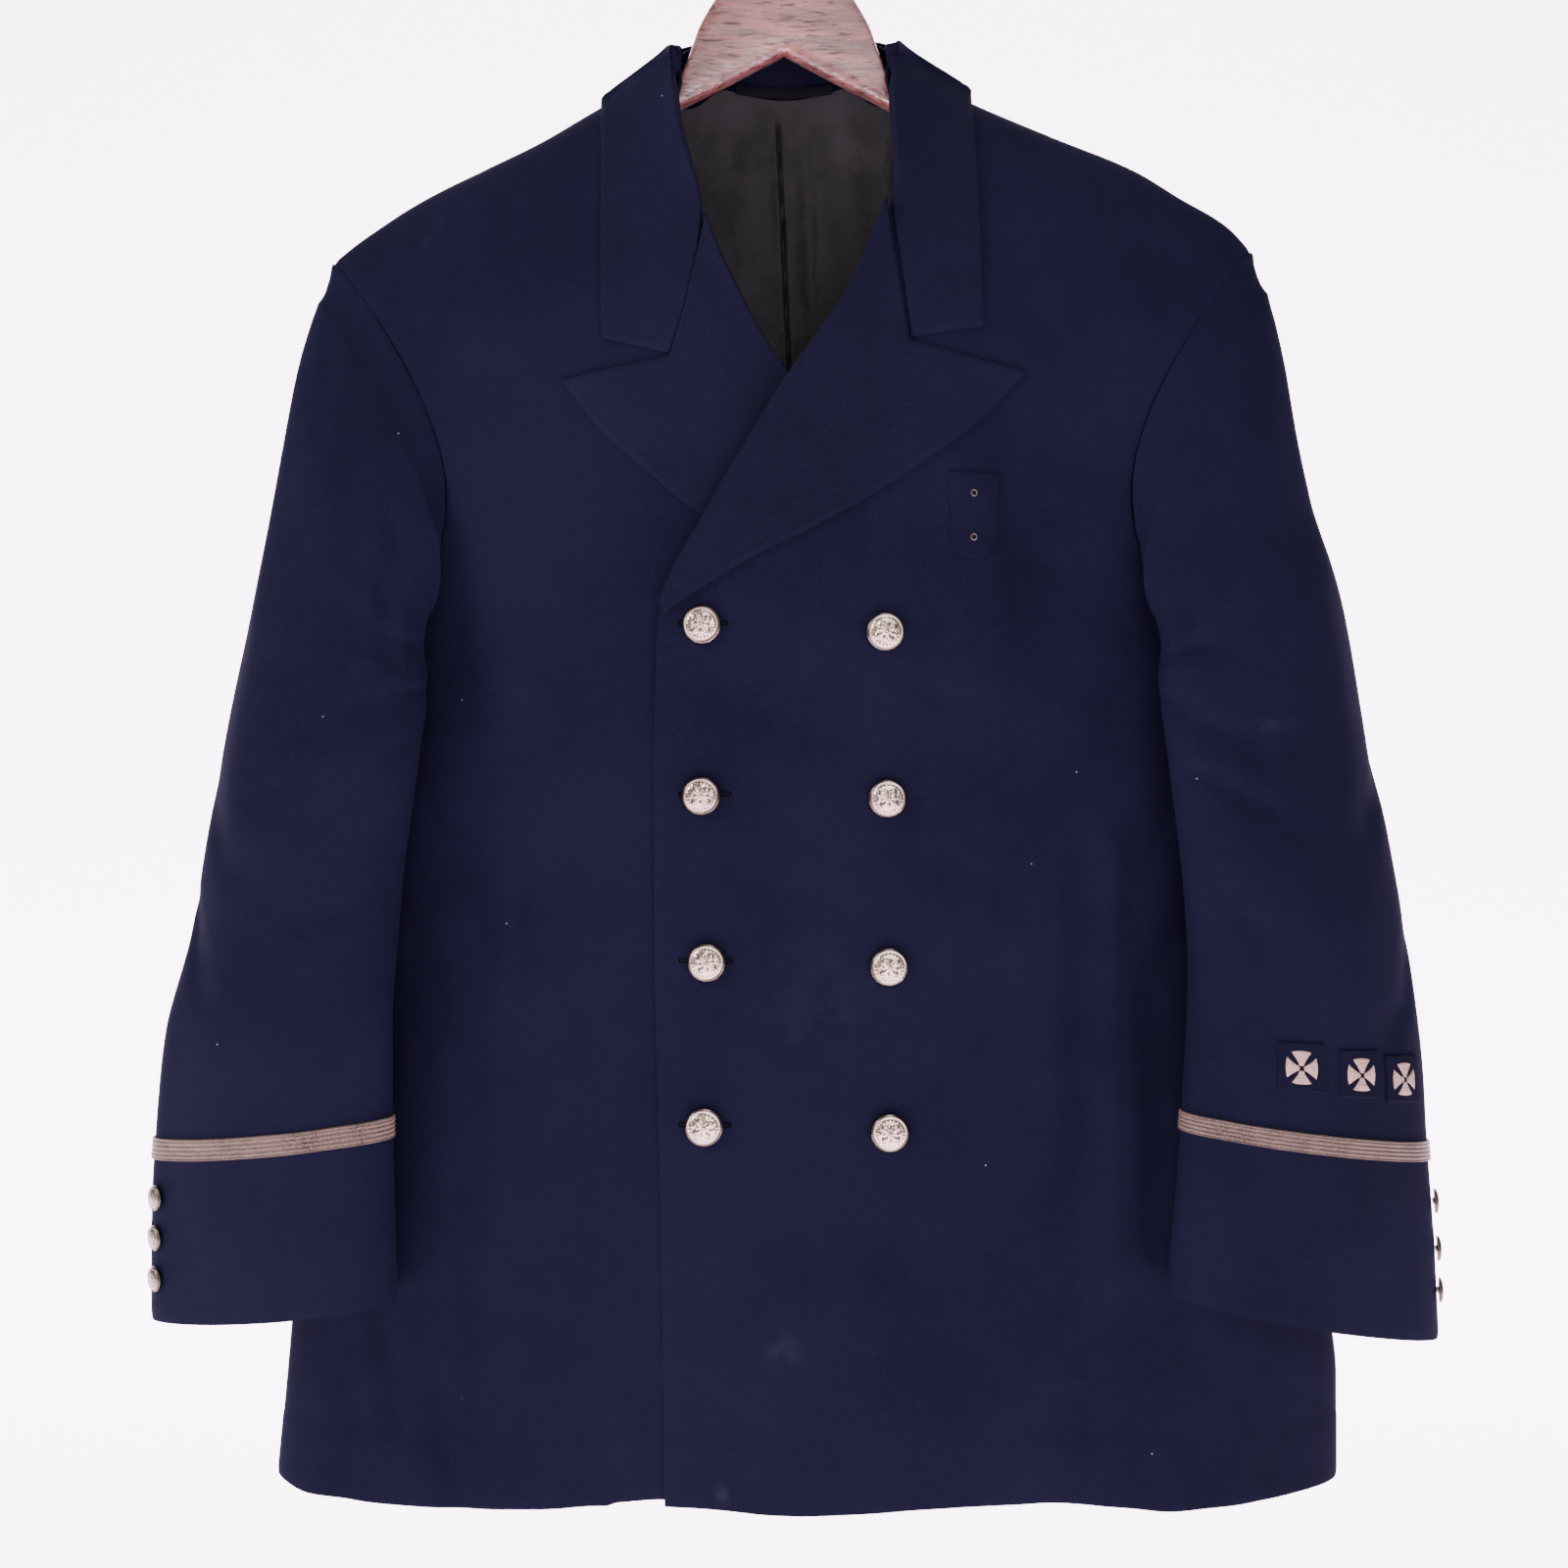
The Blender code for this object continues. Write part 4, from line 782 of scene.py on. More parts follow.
def wavering(share, seed):
    """A small uneven sway along a crease, the same each time for one seed."""
    return 0.6 * np.sin(5.1 * share + 2.3 * seed) + 0.4 * np.sin(11.7 * share + 4.1 * seed)


def creases(rows, across, along, across_scale=1.0, along_scale=1.0):
    """How far creases sink at places; the scales turn both directions into millimetres."""
    total = 0 * (across + along)
    columns = list(rows.values())
    for seed, (a_from, b_from, a_to, b_to, width, depth) in enumerate(zip(*columns)):
        run_a, run_b = (a_to - a_from) * across_scale, (b_to - b_from) * along_scale
        length = np.hypot(run_a, run_b)
        off_a, off_b = (across - a_from) * across_scale, (along - b_from) * along_scale
        share = (off_a * run_a + off_b * run_b) / length**2
        aside = (off_a * run_b - off_b * run_a) / length
        inside = np.clip(share, 0, 1)
        beyond = (share - inside) * length
        aside = aside + width * 0.35 * wavering(inside, seed)
        swell = 0.55 + 0.45 * np.sin(np.pi * inside) * (1 + 0.25 * wavering(inside, seed + 7))
        skew = np.where(aside > 0, 1.25, 0.85)
        total = total + depth * swell * np.exp(-((aside / width * skew) ** 2) - (beyond / (1.3 * width)) ** 2)
    return total


def rumple(x, down, seed):
    """The slight unevenness of a pressed cloth that has hung for long."""
    wave = np.sin(0.031 * x + 0.017 * down + seed) * np.sin(0.013 * down - 0.023 * x + 2 * seed)
    small = np.sin(0.071 * x - 0.043 * down + 3 * seed) * np.sin(0.059 * down + 0.037 * x + seed)
    return 0.55 * wave + 0.22 * small


def fine_front(x, down):
    return creases(FRONT_CREASES, x, down) + rumple(x, down, 1.0)


def fine_back(x, down):
    return creases(BACK_CREASES, x, down) + rumple(x, down, 2.0)


def front_depth(x, down):
    return front_y(x, down) + CREASE_DEPTH * fine_front(x, down) * settled(x, down)


def over_depth(x, down):
    return over_y(x, down) + CREASE_DEPTH * fine_front(x, down) * settled(x, down)


def back_depth(x, down):
    return back_y(x, down) - CREASE_DEPTH * fine_back(x, down) * settled(x, down)


def settled(x, down):
    """Creases fade out towards the shoulder line and the side seams."""
    below = smooth((down - read(RIDGE, "down", x) - 10) / 60)
    inside = smooth((half_width(x, down) - np.abs(x) - 4) / 30)
    return below * inside


def lengths(grid, axis):
    """Millimetres along a grid of points from its first row or column."""
    step = np.linalg.norm(np.diff(grid, axis=axis), axis=-1)
    start = np.zeros_like(np.take(step, [0], axis=axis))
    return np.concatenate([start, np.cumsum(step, axis=axis)], axis=axis)


def grid_normals(grid, like, passes=2):
    """Unit normals of a grid of points, evened out, on the side of the given direction or directions."""
    normal = unit(np.cross(np.gradient(grid, axis=0), np.gradient(grid, axis=1)))
    like = np.broadcast_to(np.asarray(like, float), grid.shape)
    normal *= np.where((normal * like).sum(-1, keepdims=True) < 0, -1, 1)
    for _ in range(passes):
        wide = np.pad(normal, ((1, 1), (1, 1), (0, 0)), mode="edge")
        beside = wide[:-2, 1:-1] + wide[2:, 1:-1] + wide[1:-1, :-2] + wide[1:-1, 2:]
        normal = unit(beside + 2 * normal)
    return normal


def put(name, data, place=(0, 0, 0), turn=(0, 0, 0)):
    """A new object in the scene."""
    made = bpy.data.objects.new(name, data)
    made.location, made.rotation_euler = place, turn
    bpy.context.scene.collection.objects.link(made)
    return made


def make_mesh(name, corners, faces, uv, material, sharp=50):
    """A mesh from points in millimetres, faces and, unless uv is None, each point's place on the cloth."""
    mesh = bpy.data.meshes.new(name + SHOWN)
    faces = faces.tolist() if isinstance(faces, np.ndarray) else faces
    mesh.from_pydata((np.asarray(corners) * MM).tolist(), [], faces)
    if uv is not None:
        layer = mesh.uv_layers.new(name="UVMap")
        loops = np.zeros(len(mesh.loops), np.int32)
        mesh.loops.foreach_get("vertex_index", loops)
        layer.data.foreach_set("uv", (np.asarray(uv)[loops] * MM).ravel())
    mesh.materials.append(material)
    mesh.shade_smooth()
    mesh.set_sharp_from_angle(angle=np.radians(sharp))
    return put(name + SHOWN, mesh)


def numbered(rows, columns, closed=False):
    """Corner numbers of a grid; closed, the first column comes again at the end."""
    index = np.arange(rows * columns).reshape(rows, columns)
    return np.concatenate([index, index[:, :1]], axis=1) if closed else index


def quads(index):
    """Faces with four corners over a grid of corner numbers."""
    return np.stack([index[:-1, :-1], index[:-1, 1:], index[1:, 1:], index[1:, :-1]], axis=-1).reshape(-1, 4)


def shell_parts(outer, inner, closed=False):
    """Corners, faces and places on the cloth of a closed shell between two grids."""
    rows, columns = outer.shape[:2]
    u, v = lengths(outer, 1)[rows // 2][None, :], lengths(outer, 0)[:, columns // 2][:, None]
    uv = np.stack(np.broadcast_arrays(u, v), axis=-1).reshape(-1, 2)
    index = numbered(rows, columns, closed)
    step = rows * columns
    edges = [(index[0], 1), (index[-1], -1)]
    if not closed:
        edges += [(index[:, 0], -1), (index[:, -1], 1)]
    faces = [quads(index), quads(index)[:, ::-1] + step]
    for line, order in edges:
        rim = np.stack([line[1:], line[:-1], line[:-1] + step, line[1:] + step], axis=-1)
        faces.append(rim[:, ::order])
    corners = np.concatenate([outer.reshape(-1, 3), inner.reshape(-1, 3)])
    return corners, np.concatenate(faces), np.concatenate([uv, uv])


def raised_parts(place, normal, high, low, closed=False):
    """A thin piece that stands on cloth, from a low to a high distance off it, as a part of a mesh."""
    return shell_parts(place + normal * high[..., None], place + normal * low, closed)


def shell(name, outer, normal, thickness, material):
    """Cloth as a thin closed shell behind a grid of points."""
    return make_mesh(name, *shell_parts(outer, outer - normal * thickness), material)


def joined(name, parts, material):
    """Many small pieces, each given by corners, faces and places on the cloth, as one mesh."""
    start, corners, faces, uvs = 0, [], [], []
    for part_corners, part_faces, part_uv in parts:
        corners.append(part_corners)
        uvs.append(part_uv)
        faces.append(part_faces + start)
        start += len(part_corners)
    return make_mesh(name, np.concatenate(corners), np.concatenate(faces), np.concatenate(uvs), material)


def edge_roll(grid, normal, reach, depth, sides):
    """Turns the edges of a grid in, as a seam or a pressed edge does.

    sides: how strongly at the first row, the last row, the first and the last column.
    """
    rows, columns = lengths(grid, 0), lengths(grid, 1)
    distances = (rows, rows[-1:] - rows, columns, columns[:, -1:] - columns)
    drop = sum(strength * depth * bell(distance, reach) for distance, strength in zip(distances, sides))
    return grid - normal * drop[..., None]


STITCH = table("x y z", (-1, -0.5, 0), (-1, 0.5, 0), (1, 0.5, 0), (1, -0.5, 0), (-0.55, 0, 1), (0.55, 0, 1))
STITCH_FACES = np.array([(0, 1, 4), (2, 3, 5), (0, 4, 5), (0, 5, 3), (1, 2, 5), (1, 5, 4)])


def pressed_edge(away):
    """How far cloth sinks at its pressed edge and along the stitches beside it."""
    return 0.9 * bell(away, 1.6) + 0.32 * bell(away - STITCH_INSET, 0.9)


def stitches(path, normals, pitch=2.9, width=0.55, height=0.2):
    """A row of stitches along a line of points on the cloth, as parts for one joined mesh."""
    run = np.concatenate([[0], np.cumsum(np.linalg.norm(np.diff(path, axis=0), axis=1))])
    places = np.arange(pitch / 2, run[-1], pitch)
    if len(places) == 0:
        return []

    def along_run(values, where):
        return np.stack([np.interp(where, run, column) for column in values.T], axis=-1)

    at, up = along_run(path, places), unit(along_run(normals, places))
    along = unit(along_run(path, places + 0.8) - along_run(path, places - 0.8))
    side = np.cross(up, along)
    forward, aside, lift = (STITCH[axis][None, :, None] for axis in ("x", "y", "z"))
    corners = (
        at[:, None]
        + along[:, None] * forward * pitch * 0.4
        + side[:, None] * aside * width
        + up[:, None] * lift * height
    ).reshape(-1, 3)
    starts = np.arange(len(places))[:, None, None] * len(STITCH["x"])
    return [(corners, (STITCH_FACES[None] + starts).reshape(-1, 3), np.zeros((len(corners), 2)))]


def show(piece, slot_name, *nodes):
    """Fixes a finished piece to the jacket's body, with the CAD nodes that it stands for."""
    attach(piece, "root")
    if nodes:
        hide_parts(*nodes)
    return piece


def hem_lift(down, hem):
    """How far the cloth stands out where its hem is turned up inside."""
    return (0.35 * smooth((down - hem + HEM_TURNED) / 3))[..., None]


def body_grid(side, face, edge, top, hem, columns):
    """x and down over a body panel, close together."""
    return panel(side, face, edge, top, hem, 130, columns)


def make_front(name, side, depth, edge, top, hem, cloth):
    x, down = body_grid(side, FRONT, edge, top, hem, 90)
    place = points(x, depth(x, down), down)
    normal = grid_normals(place, (0, -1, 0))
    normal = grid_normals(place, mix(normal, np.array((side * 1.0, 0, 0.3)), 0.02), 3)
    place = edge_roll(place, normal, 2.0, 0.8, (1, 0.6, 1, 0.9))
    place = place + normal * hem_lift(down, read(HEM, "down", x))
    show(shell(name, place, normal, SHELL, cloth), "navy_wool", name)
    return place, normal


def make_fronts(cloth, thread):
    def over_hem(x):
        return read(HEM, "down", x)

    def under_hem(x):
        return np.where(x < -100, over_hem(x), mix(993, UNDER_HEM_DOWN, smooth((x + 150) / 80)))

    def under_edge(down):
        return read(UNDER_EDGE, "x", down) - 1.5

    def over_edge(down):
        return read(OVER_EDGE, "x", down) + 1.5 * (1 - smooth((down - 440) / 30))

    under_top, over_top = UNDER_EDGE["down"][0], OVER_EDGE["down"][0]
    make_front("front_under", LEFT, front_depth, under_edge, under_top, under_hem, cloth)
    place, normal = make_front("front_over", RIGHT, over_depth, over_edge, over_top, over_hem, cloth)
    line, up = sewn_line(place, normal, 7.0, -place[:, -1, 2] > 475)
    show(joined("front_stitching", stitches(line + up * 0.05, up), thread), "navy_wool")


def sewn_line(place, normal, inset, rows, shortest=0.0):
    """A line through rows of a grid, a distance in from its last column, and how the cloth faces there."""
    line, up = [], []
    for reach, row, facing in zip(lengths(place, 1)[rows], place[rows], normal[rows]):
        if reach[-1] < shortest:
            continue
        at = np.interp(reach[-1] - inset, reach, np.arange(len(reach)))
        low = int(at)
        line.append(mix(row[low], row[min(low + 1, len(row) - 1)], at - low))
        up.append(facing[low])
    return np.array(line), np.array(up)


BUTTONHOLES = table("x_from x_to down", (-61, -33, 474), (-61, -31, 573), (-61, -30, 670), (-61, -31, 765.5))


def buttonhole_rows():
    """Close short stitches along both sides of each worked buttonhole."""
    rows = []
    for x_from, x_to, down in zip(*BUTTONHOLES.values()):
        for offset in (-1.15, 1.15):
            x = np.linspace(x_from, x_to, 40)
            path, normal = laid(over_depth, x, down + 0 * x)
            path[:, 2] -= offset
            rows += stitches(path + normal * 0.1, normal, pitch=0.75, width=1.0, height=0.55)
        for x_end in (x_from, x_to):
            down_end = np.linspace(down - 1.6, down + 1.6, 8)
            path, normal = laid(over_depth, x_end + 0 * down_end, down_end)
            rows += stitches(path + normal * 0.1, normal, pitch=0.75, width=0.9, height=0.55)
    return rows


def make_back(cloth):
    def centre(down):
        return CENTRE_BACK_X + 0 * down

    def hem(x):
        return BACK_HEM_DOWN + 0 * x

    for side, word in SIDES:
        x, down = body_grid(side, BACK, centre, BACK_NECK_DOWN, hem, 60)
        place = points(x, back_depth(x, down), down)
        normal = grid_normals(place, (0, 1, 0), 3)
        place = edge_roll(place, normal, 2.6, 1.1, (0.8, 0.5, 0.8, 1.3))
        place = place + normal * hem_lift(down, BACK_HEM_DOWN)
        name = "back_viewer_" + word
        show(shell(name, place, normal, SHELL, cloth), "navy_wool", name)


def make_shoulder_tape(cloth):
    """A strip inside each shoulder seam that closes it, as the sewn edges do."""
    parts = []
    for side, _ in SIDES:
        x = side * np.linspace(NECK_POINT + 2, 212, 90)[:, None]
        across = np.linspace(-2.4, 2.4, 7)[None, :]
        seam_down = top_line(x, FRONT)
        middle = (front_y(x, seam_down) + back_y(x, seam_down)) / 2
        place = points(x + 0 * across, middle + across, seam_down + 1.2 + 0.3 * np.abs(across))
        parts.append(shell_parts(place, place - np.array((0, 0, 0.5))))
    show(joined("shoulder_tape", parts, cloth), "navy_wool")


# The pressed edge of the lining's centre pleat: a place on it, and its slope
PLEAT_LINE_X, PLEAT_LINE_DOWN, PLEAT_LINE_SLOPE = -4.3, 141, 0.045


def make_lining(lining):
    half = 205
    x = (np.linspace(-half, -62, 24), np.linspace(-60, 80, 150), np.linspace(82, half, 22))
    x = np.concatenate(x)[None, :]
    share = np.linspace(0, 1, 100)[:, None] ** 1.5
    top = top_line(x, BACK) + mix(1.6, 14, smooth((np.abs(x) - 36) / 24))
    down = mix(top, 950, share)
    back = points(x, back_y(x, down), down)
    inward = -outward(back_y, x, down, BACK)
    sunk = 1.1 * creases(LINING_CREASES, x, down) * smooth((down - top) / 40)
    right_of_line = x - PLEAT_LINE_X - (down - PLEAT_LINE_DOWN) * PLEAT_LINE_SLOPE
    below_neck = smooth((down - top - 6) / 12)
    step = smooth(right_of_line / 2 + 0.5) * np.exp(-np.maximum(right_of_line, 0) / 18)
    sunk = sunk + (step + 2.2 * bell(right_of_line, 1.1)) * below_neck
    depth = (CLOTH + mix(1.4, 3.6, smooth((down - top) / 30)) + 0.35 * pleat(x, down) - sunk)[..., None]
    place = back + inward * (depth + LINING_CLOTH)
    normal = grid_normals(place, (0, -1, 0))
    show(shell("back_lining", place, normal, 0.8, lining), "black_lining", "back_lining")


# How far the sleeve's head stands out over its seam
HEAD_FULLNESS = 2.2


def sleeve_sunk(side, ring, turn, place, rumpled=1.0):
    """How far a sleeve's creases and rumples sink at places on it."""
    length = SLEEVES[side]["outer_down"]
    per_ring = (length[-1] - length[4]) / 8.0
    shown_turn = (turn + 0.5) % 1 - 0.5
    rows = SLEEVE_CREASES[side]
    sunk = sum(creases(rows, ring, shown_turn + shift, per_ring, SLEEVE_ROUND) for shift in (0, 1))
    return sunk + 0.8 * rumple(1.4 * place[..., 0], -0.8 * place[..., 2], 3.0 + side) * rumpled


def sleeve_places(side, rings, first, last, columns):
    """Points of a sleeve's piece with its creases, and how its surface faces."""
    ring = rings[:, None]
    turn = sleeve_turns(ring, np.linspace(first, last, columns))
    each_ring = ring + 0 * turn
    place = sleeve(side, each_ring, turn)
    normal = grid_normals(place, sleeve_normal(side, each_ring, turn), 4)
    sunk = sleeve_sunk(side, each_ring, turn, place, smooth((ring - 2) / 2))
    fade = smooth(ring / 0.8) * (0.35 + 0.65 * smooth((ring - 0.8) / 1.2))
    head = HEAD_FULLNESS * bell(ring - 0.3, 0.4) * np.clip(np.cos(2 * np.pi * turn), 0, 1) ** 2
    return place + normal * (head - sunk * fade)[..., None], normal


def make_sleeves(cloth):
    rings = (np.linspace(0, 1, 18)[:-1], np.linspace(1, 5, 48)[:-1], np.linspace(5, 12, 100))
    rings = np.concatenate(rings)
    for side, word in SIDES:
        for name, first, last, columns in (
            ("top", HIND_CORNER, FORE_CORNER, 72),
            ("under", FORE_CORNER, HIND_CORNER + 2 * ARMHOLE_ROWS, 54),
        ):
            place, normal = sleeve_places(side, rings, first, last, columns)
            place = edge_roll(place, normal, 2.0, 0.7, (0.8, 0.7, 0.7, 0.7))
            cuff = smooth((rings - 10.95) / 0.06)[:, None]
            place = place + normal * (0.3 * cuff)[..., None]
            name = f"sleeve_{name}_{word}"
            show(shell(name, place, normal, SHELL, cloth), "navy_wool", name)


def sleeve_surface(side, ring, turn):
    """Points and directions of the creased sleeve at single places."""
    place = sleeve(side, ring, turn)
    normal = sleeve_normal(side, ring, turn)
    return place - normal * sleeve_sunk(side, ring, turn, place)[..., None], normal


def make_braid(braid):
    for side, word in SIDES:
        length = SLEEVES[side]["outer_down"]
        across = np.linspace(0, 1, 41)
        per_ring = length[BRAID_RING + 1] - length[BRAID_RING]
        ring = BRAID_RING + 0.02 + across[:, None] * BRAID_WIDTH / per_ring
        places = np.linspace(HIND_CORNER, HIND_CORNER + 2 * ARMHOLE_ROWS, 161)[:-1]
        turn = sleeve_turns(ring, places)
        place, normal = sleeve_surface(side, ring + 0 * turn, turn)
        ribs = 0.42 * np.cos(2 * np.pi * BRAID_RIBS * across)
        ribs = ribs + 0.35 * bell(across - 0.06, 0.05) + 0.35 * bell(across - 0.94, 0.05)
        edge = smooth(across / 0.05) * smooth((1 - across) / 0.05)
        high = (0.5 + edge * (0.75 + ribs))[:, None]
        name = "braid_" + word
        parts = raised_parts(place, normal, high, 0.25, closed=True)
        show(make_mesh(name, *parts, braid), "silver_braid", name)


def wrapped(outer, behind, edge_out, steps=7):
    """Extra columns that carry a folded edge round from the cloth behind it to the first column of a grid."""
    centre = (outer + behind) / 2
    half = (outer - behind) / 2
    radius = np.linalg.norm(half, axis=-1, keepdims=True)
    angles = np.linspace(np.pi, 0, steps + 1)[:-1]
    columns = [centre + half * np.cos(angle) + edge_out * radius * 0.8 * np.sin(angle) for angle in angles]
    return np.stack(columns, axis=1)


def collar_leaf_places(along, share):
    rows = collar_row(along)
    leaf = mix(rows[:, :1], rows[:, 1:], share[None, :, None])
    x, down = leaf[..., 0], -leaf[..., 2]
    far = np.abs(along)[:, None]
    fold = COLLAR_FOLD_LIFT * (1 - smooth((far - 0.66) / 0.12)) * np.exp(-6 * share[None, :])
    facing = np.maximum(np.abs(outward(front_y, x, down, FRONT)[..., 1]), 0.3)
    before = np.where(x < 0, front_y(x, down), over_y(x, down)) - (LAYER + fold) / facing
    facing = np.maximum(np.abs(outward(back_y, x, down, BACK)[..., 1]), 0.3)
    behind = back_y(x, down) + LAYER / facing
    before = np.minimum(leaf[..., 1] * (far < 0.5), before)
    leaf[..., 1] = mix(leaf[..., 1], before, smooth((far - 0.335) / 0.03))
    out_of_back = 1 - smooth((far - 0.285) / 0.03)
    leaf[..., 1] = mix(leaf[..., 1], np.maximum(leaf[..., 1], behind), out_of_back)
    leaf[..., 2] += 4.5 * bell(far - 0.36, 0.10) * np.sin(np.pi * np.sqrt(share[None, :]))
    return leaf


def make_collar_leaf(cloth, thread):
    front = np.linspace(0.36, 1, 100)
    along = np.concatenate([-front[::-1], np.linspace(-0.355, 0.355, 151), front])
    share = np.concatenate([np.linspace(0, 0.2, 14)[:-1], np.linspace(0.2, 1, 28)])
    leaf = collar_leaf_places(along, share)
    normal = grid_normals(leaf, leaf - np.array((0, 0, -230.0)), 3)
    first = leaf[:, 0]
    inward = -normal[:, 0]
    sides = np.where(first[:, :1] < 0, 1, -1) * np.array((1.0, 0, 0))
    low = smooth((np.abs(along) - 0.42) / 0.15)[:, None]
    edge_out = mix(np.array((0, 0, 1.0)), sides, low)
    turned_in = wrapped(first, first + inward * mix(7.5, 4.2, low), edge_out)
    folded = grid_normals(turned_in, turned_in - first[:, None] - inward[:, None] * 2.1, 1)
    normal = np.concatenate([folded, normal], axis=1)
    place = np.concatenate([turned_in, leaf], axis=1)
    ends = lengths(place, 0)
    ends = np.minimum(ends, ends[-1:] - ends)[:, turned_in.shape[1]:]
    away = np.minimum(lengths(leaf, 1)[:, -1:] - lengths(leaf, 1), ends)
    away = np.concatenate([np.full(turned_in.shape[:2], 99.0), away], axis=1)
    place = place - normal * pressed_edge(away)[..., None]
    x, down = place[..., 0], -place[..., 2]
    place = place + normal * (0.5 * rumple(1.6 * x, 1.6 * down, 5.0))[..., None]
    show(shell("collar_leaf", place, normal, 1.6, cloth), "navy_wool", "collar_leaf")
    rows = stitches(*sewn_line(place, normal, STITCH_INSET, slice(None)))
    show(joined("collar_stitching", rows, thread), "navy_wool")


def make_collar_stand(cloth):
    reach = STAND["along"][-1]
    along = np.linspace(-reach, reach, 121)
    fold = collar_row(along)[:, 0]
    x, y, down = (read(STAND, "seam_" + axis, np.abs(along)) for axis in ("x", "y", "down"))
    inward = np.array((0, -25, 0)) - fold
    inward[:, 2] = 0
    inward = unit(inward)
    top = fold + inward * (STAND_INSET + FOLDED_CLOTH)
    top[:, 2] -= 1.5
    seam = points(np.sign(along) * x, y, down) + inward
    stand = mix(top[:, None], seam[:, None], np.linspace(0, 1, 16)[None, :, None])
    normal = np.broadcast_to(inward[:, None], stand.shape)
    show(shell("collar_stand", stand, normal, 1.6, cloth), "navy_wool", "collar_stand")


def lapel_places(depth, edge, outline, gorge, hidden, along, share):
    roll_down = mix(gorge["down"][0], 462, along)
    roll_x = read(edge, "x", roll_down)
    edge_x, edge_down = read(outline, "x", along), read(outline, "down", along)
    bend_x, bend_down = (
        np.interp(share, gorge["share"], gorge[axis]) - mix(gorge[axis][0], gorge[axis][-1], share)
        for axis in ("x", "down")
    )
    fade = (1 - along) ** 2.5
    x = mix(roll_x, edge_x, share) + bend_x * fade
    down = mix(roll_down, edge_down, share) + bend_down * fade
    away = share * np.hypot(edge_x - roll_x, edge_down - roll_down)
    roll = LAPEL_ROLL * np.clip(1 - hidden * along, 0, 1) * np.exp(-away / LAPEL_ROLL_REACH)
    return points(x, depth(x, down) - LAYER - roll, down), roll


def make_lapel(word, depth, edge, hidden, cloth):
    """A lapel; hidden is how fast its roll ends down the edge. Gives its row of stitches."""
    along = np.linspace(0, 1, 150)[:, None]
    share = np.concatenate([np.linspace(0, 0.2, 16)[:-1], np.linspace(0.2, 1, 46)])[None, :]
    outer, roll = lapel_places(depth, edge, LAPEL_EDGE[word], LAPEL_GORGE[word], hidden, along, share)
    normal = grid_normals(outer, (0, -1, 0), 3)
    first = outer[:, 0]
    behind = first + np.array((0, 1.0, 0)) * (LAYER + 0.2 + roll[:, :1] * 0.8)
    turned_in = wrapped(first, behind, unit(first - outer[:, 12]) * 0.8)
    away = np.minimum(lengths(outer, 1)[:, -1:] - lengths(outer, 1), lengths(outer, 0))
    x, down = outer[..., 0], -outer[..., 2]
    lift = 0.6 * rumple(1.3 * x, 1.3 * down, 6.0) - pressed_edge(away)
    flat = outer + normal * lift[..., None]
    place = np.concatenate([turned_in, flat], axis=1)
    folded = grid_normals(turned_in, turned_in - (first + behind)[:, None] / 2, 1)
    facing = np.concatenate([folded, normal], axis=1)
    name = "lapel_" + word
    show(shell(name, place, facing, 1.6, cloth), "navy_wool", name)
    return stitches(*sewn_line(flat, normal, STITCH_INSET, slice(6, None), 14))


def make_badge_tab(cloth, thread, metal):
    top, bottom = BADGE_TAB["top"], BADGE_TAB["bottom"]
    middle, half = (BADGE_TAB["left"] + BADGE_TAB["right"]) / 2, (BADGE_TAB["right"] - BADGE_TAB["left"]) / 2
    foot, inset = bottom - half, half - TAB_STITCH_INSET
    across = np.linspace(-1, 1, 40)[None, :]
    down = mix(top, bottom, np.linspace(0, 0.995, 60)[:, None])
    narrow = np.sqrt(np.clip(1 - (np.maximum(down - foot, 0) / half) ** 2, 0.01, 1))
    x = middle + half * narrow * across
    down = down + 0 * x
    place, normal = laid(over_depth, x, down)
    sides = half * narrow * (1 - np.abs(across))
    away = np.minimum(np.minimum(sides, down - top), bottom - down)
    high = 0.35 + 1.15 * smooth((away + 0.25) / 1.4) - 0.3 * bell(away - TAB_STITCH_INSET, 0.7)
    show(make_mesh("badge_tab", *raised_parts(place, normal, high, 0.15), cloth), "navy_wool", "badge_tab")

    turn = np.linspace(0.04, 0.96, 90) * np.pi
    straight = np.linspace(top + TAB_STITCH_INSET, foot, 40)
    left, right = 0 * straight + middle - inset, 0 * straight + middle + inset
    x_round = np.concatenate([left, middle - inset * np.cos(turn), right])
    down_round = np.concatenate([straight, foot + inset * np.sin(turn), straight[::-1]])
    x_top = np.linspace(middle - inset, middle + inset, 20)
    rows = []
    for x, down in ((x_round, down_round), (x_top, top + TAB_STITCH_INSET + 0 * x_top)):
        path, up = laid(over_depth, x, down)
        rows += stitches(path + up * 1.2, up, pitch=2.2)
    show(joined("tab_stitching", rows, thread), "navy_wool")

    rings = []
    for down_at in EYELET_DOWNS:
        around, tube = np.meshgrid(np.linspace(0, 2 * np.pi, 41), np.linspace(0, 2 * np.pi, 13))
        reach = EYELET_RADIUS + 0.55 * np.cos(tube)
        x, down = middle + reach * np.cos(around), down_at + reach * np.sin(around)
        grid = points(x, over_depth(x, down) - 1.5 - 0.45 * np.sin(tube), down)
        faces = quads(numbered(*grid.shape[:2]))
        rings.append((grid.reshape(-1, 3), faces, np.zeros((grid.shape[0] * grid.shape[1], 2))))
    show(joined("tab_eyelets", rings, metal), "navy_wool")


EYELET_DOWNS = (397.5, 423)
EYELET_RADIUS = 1.7


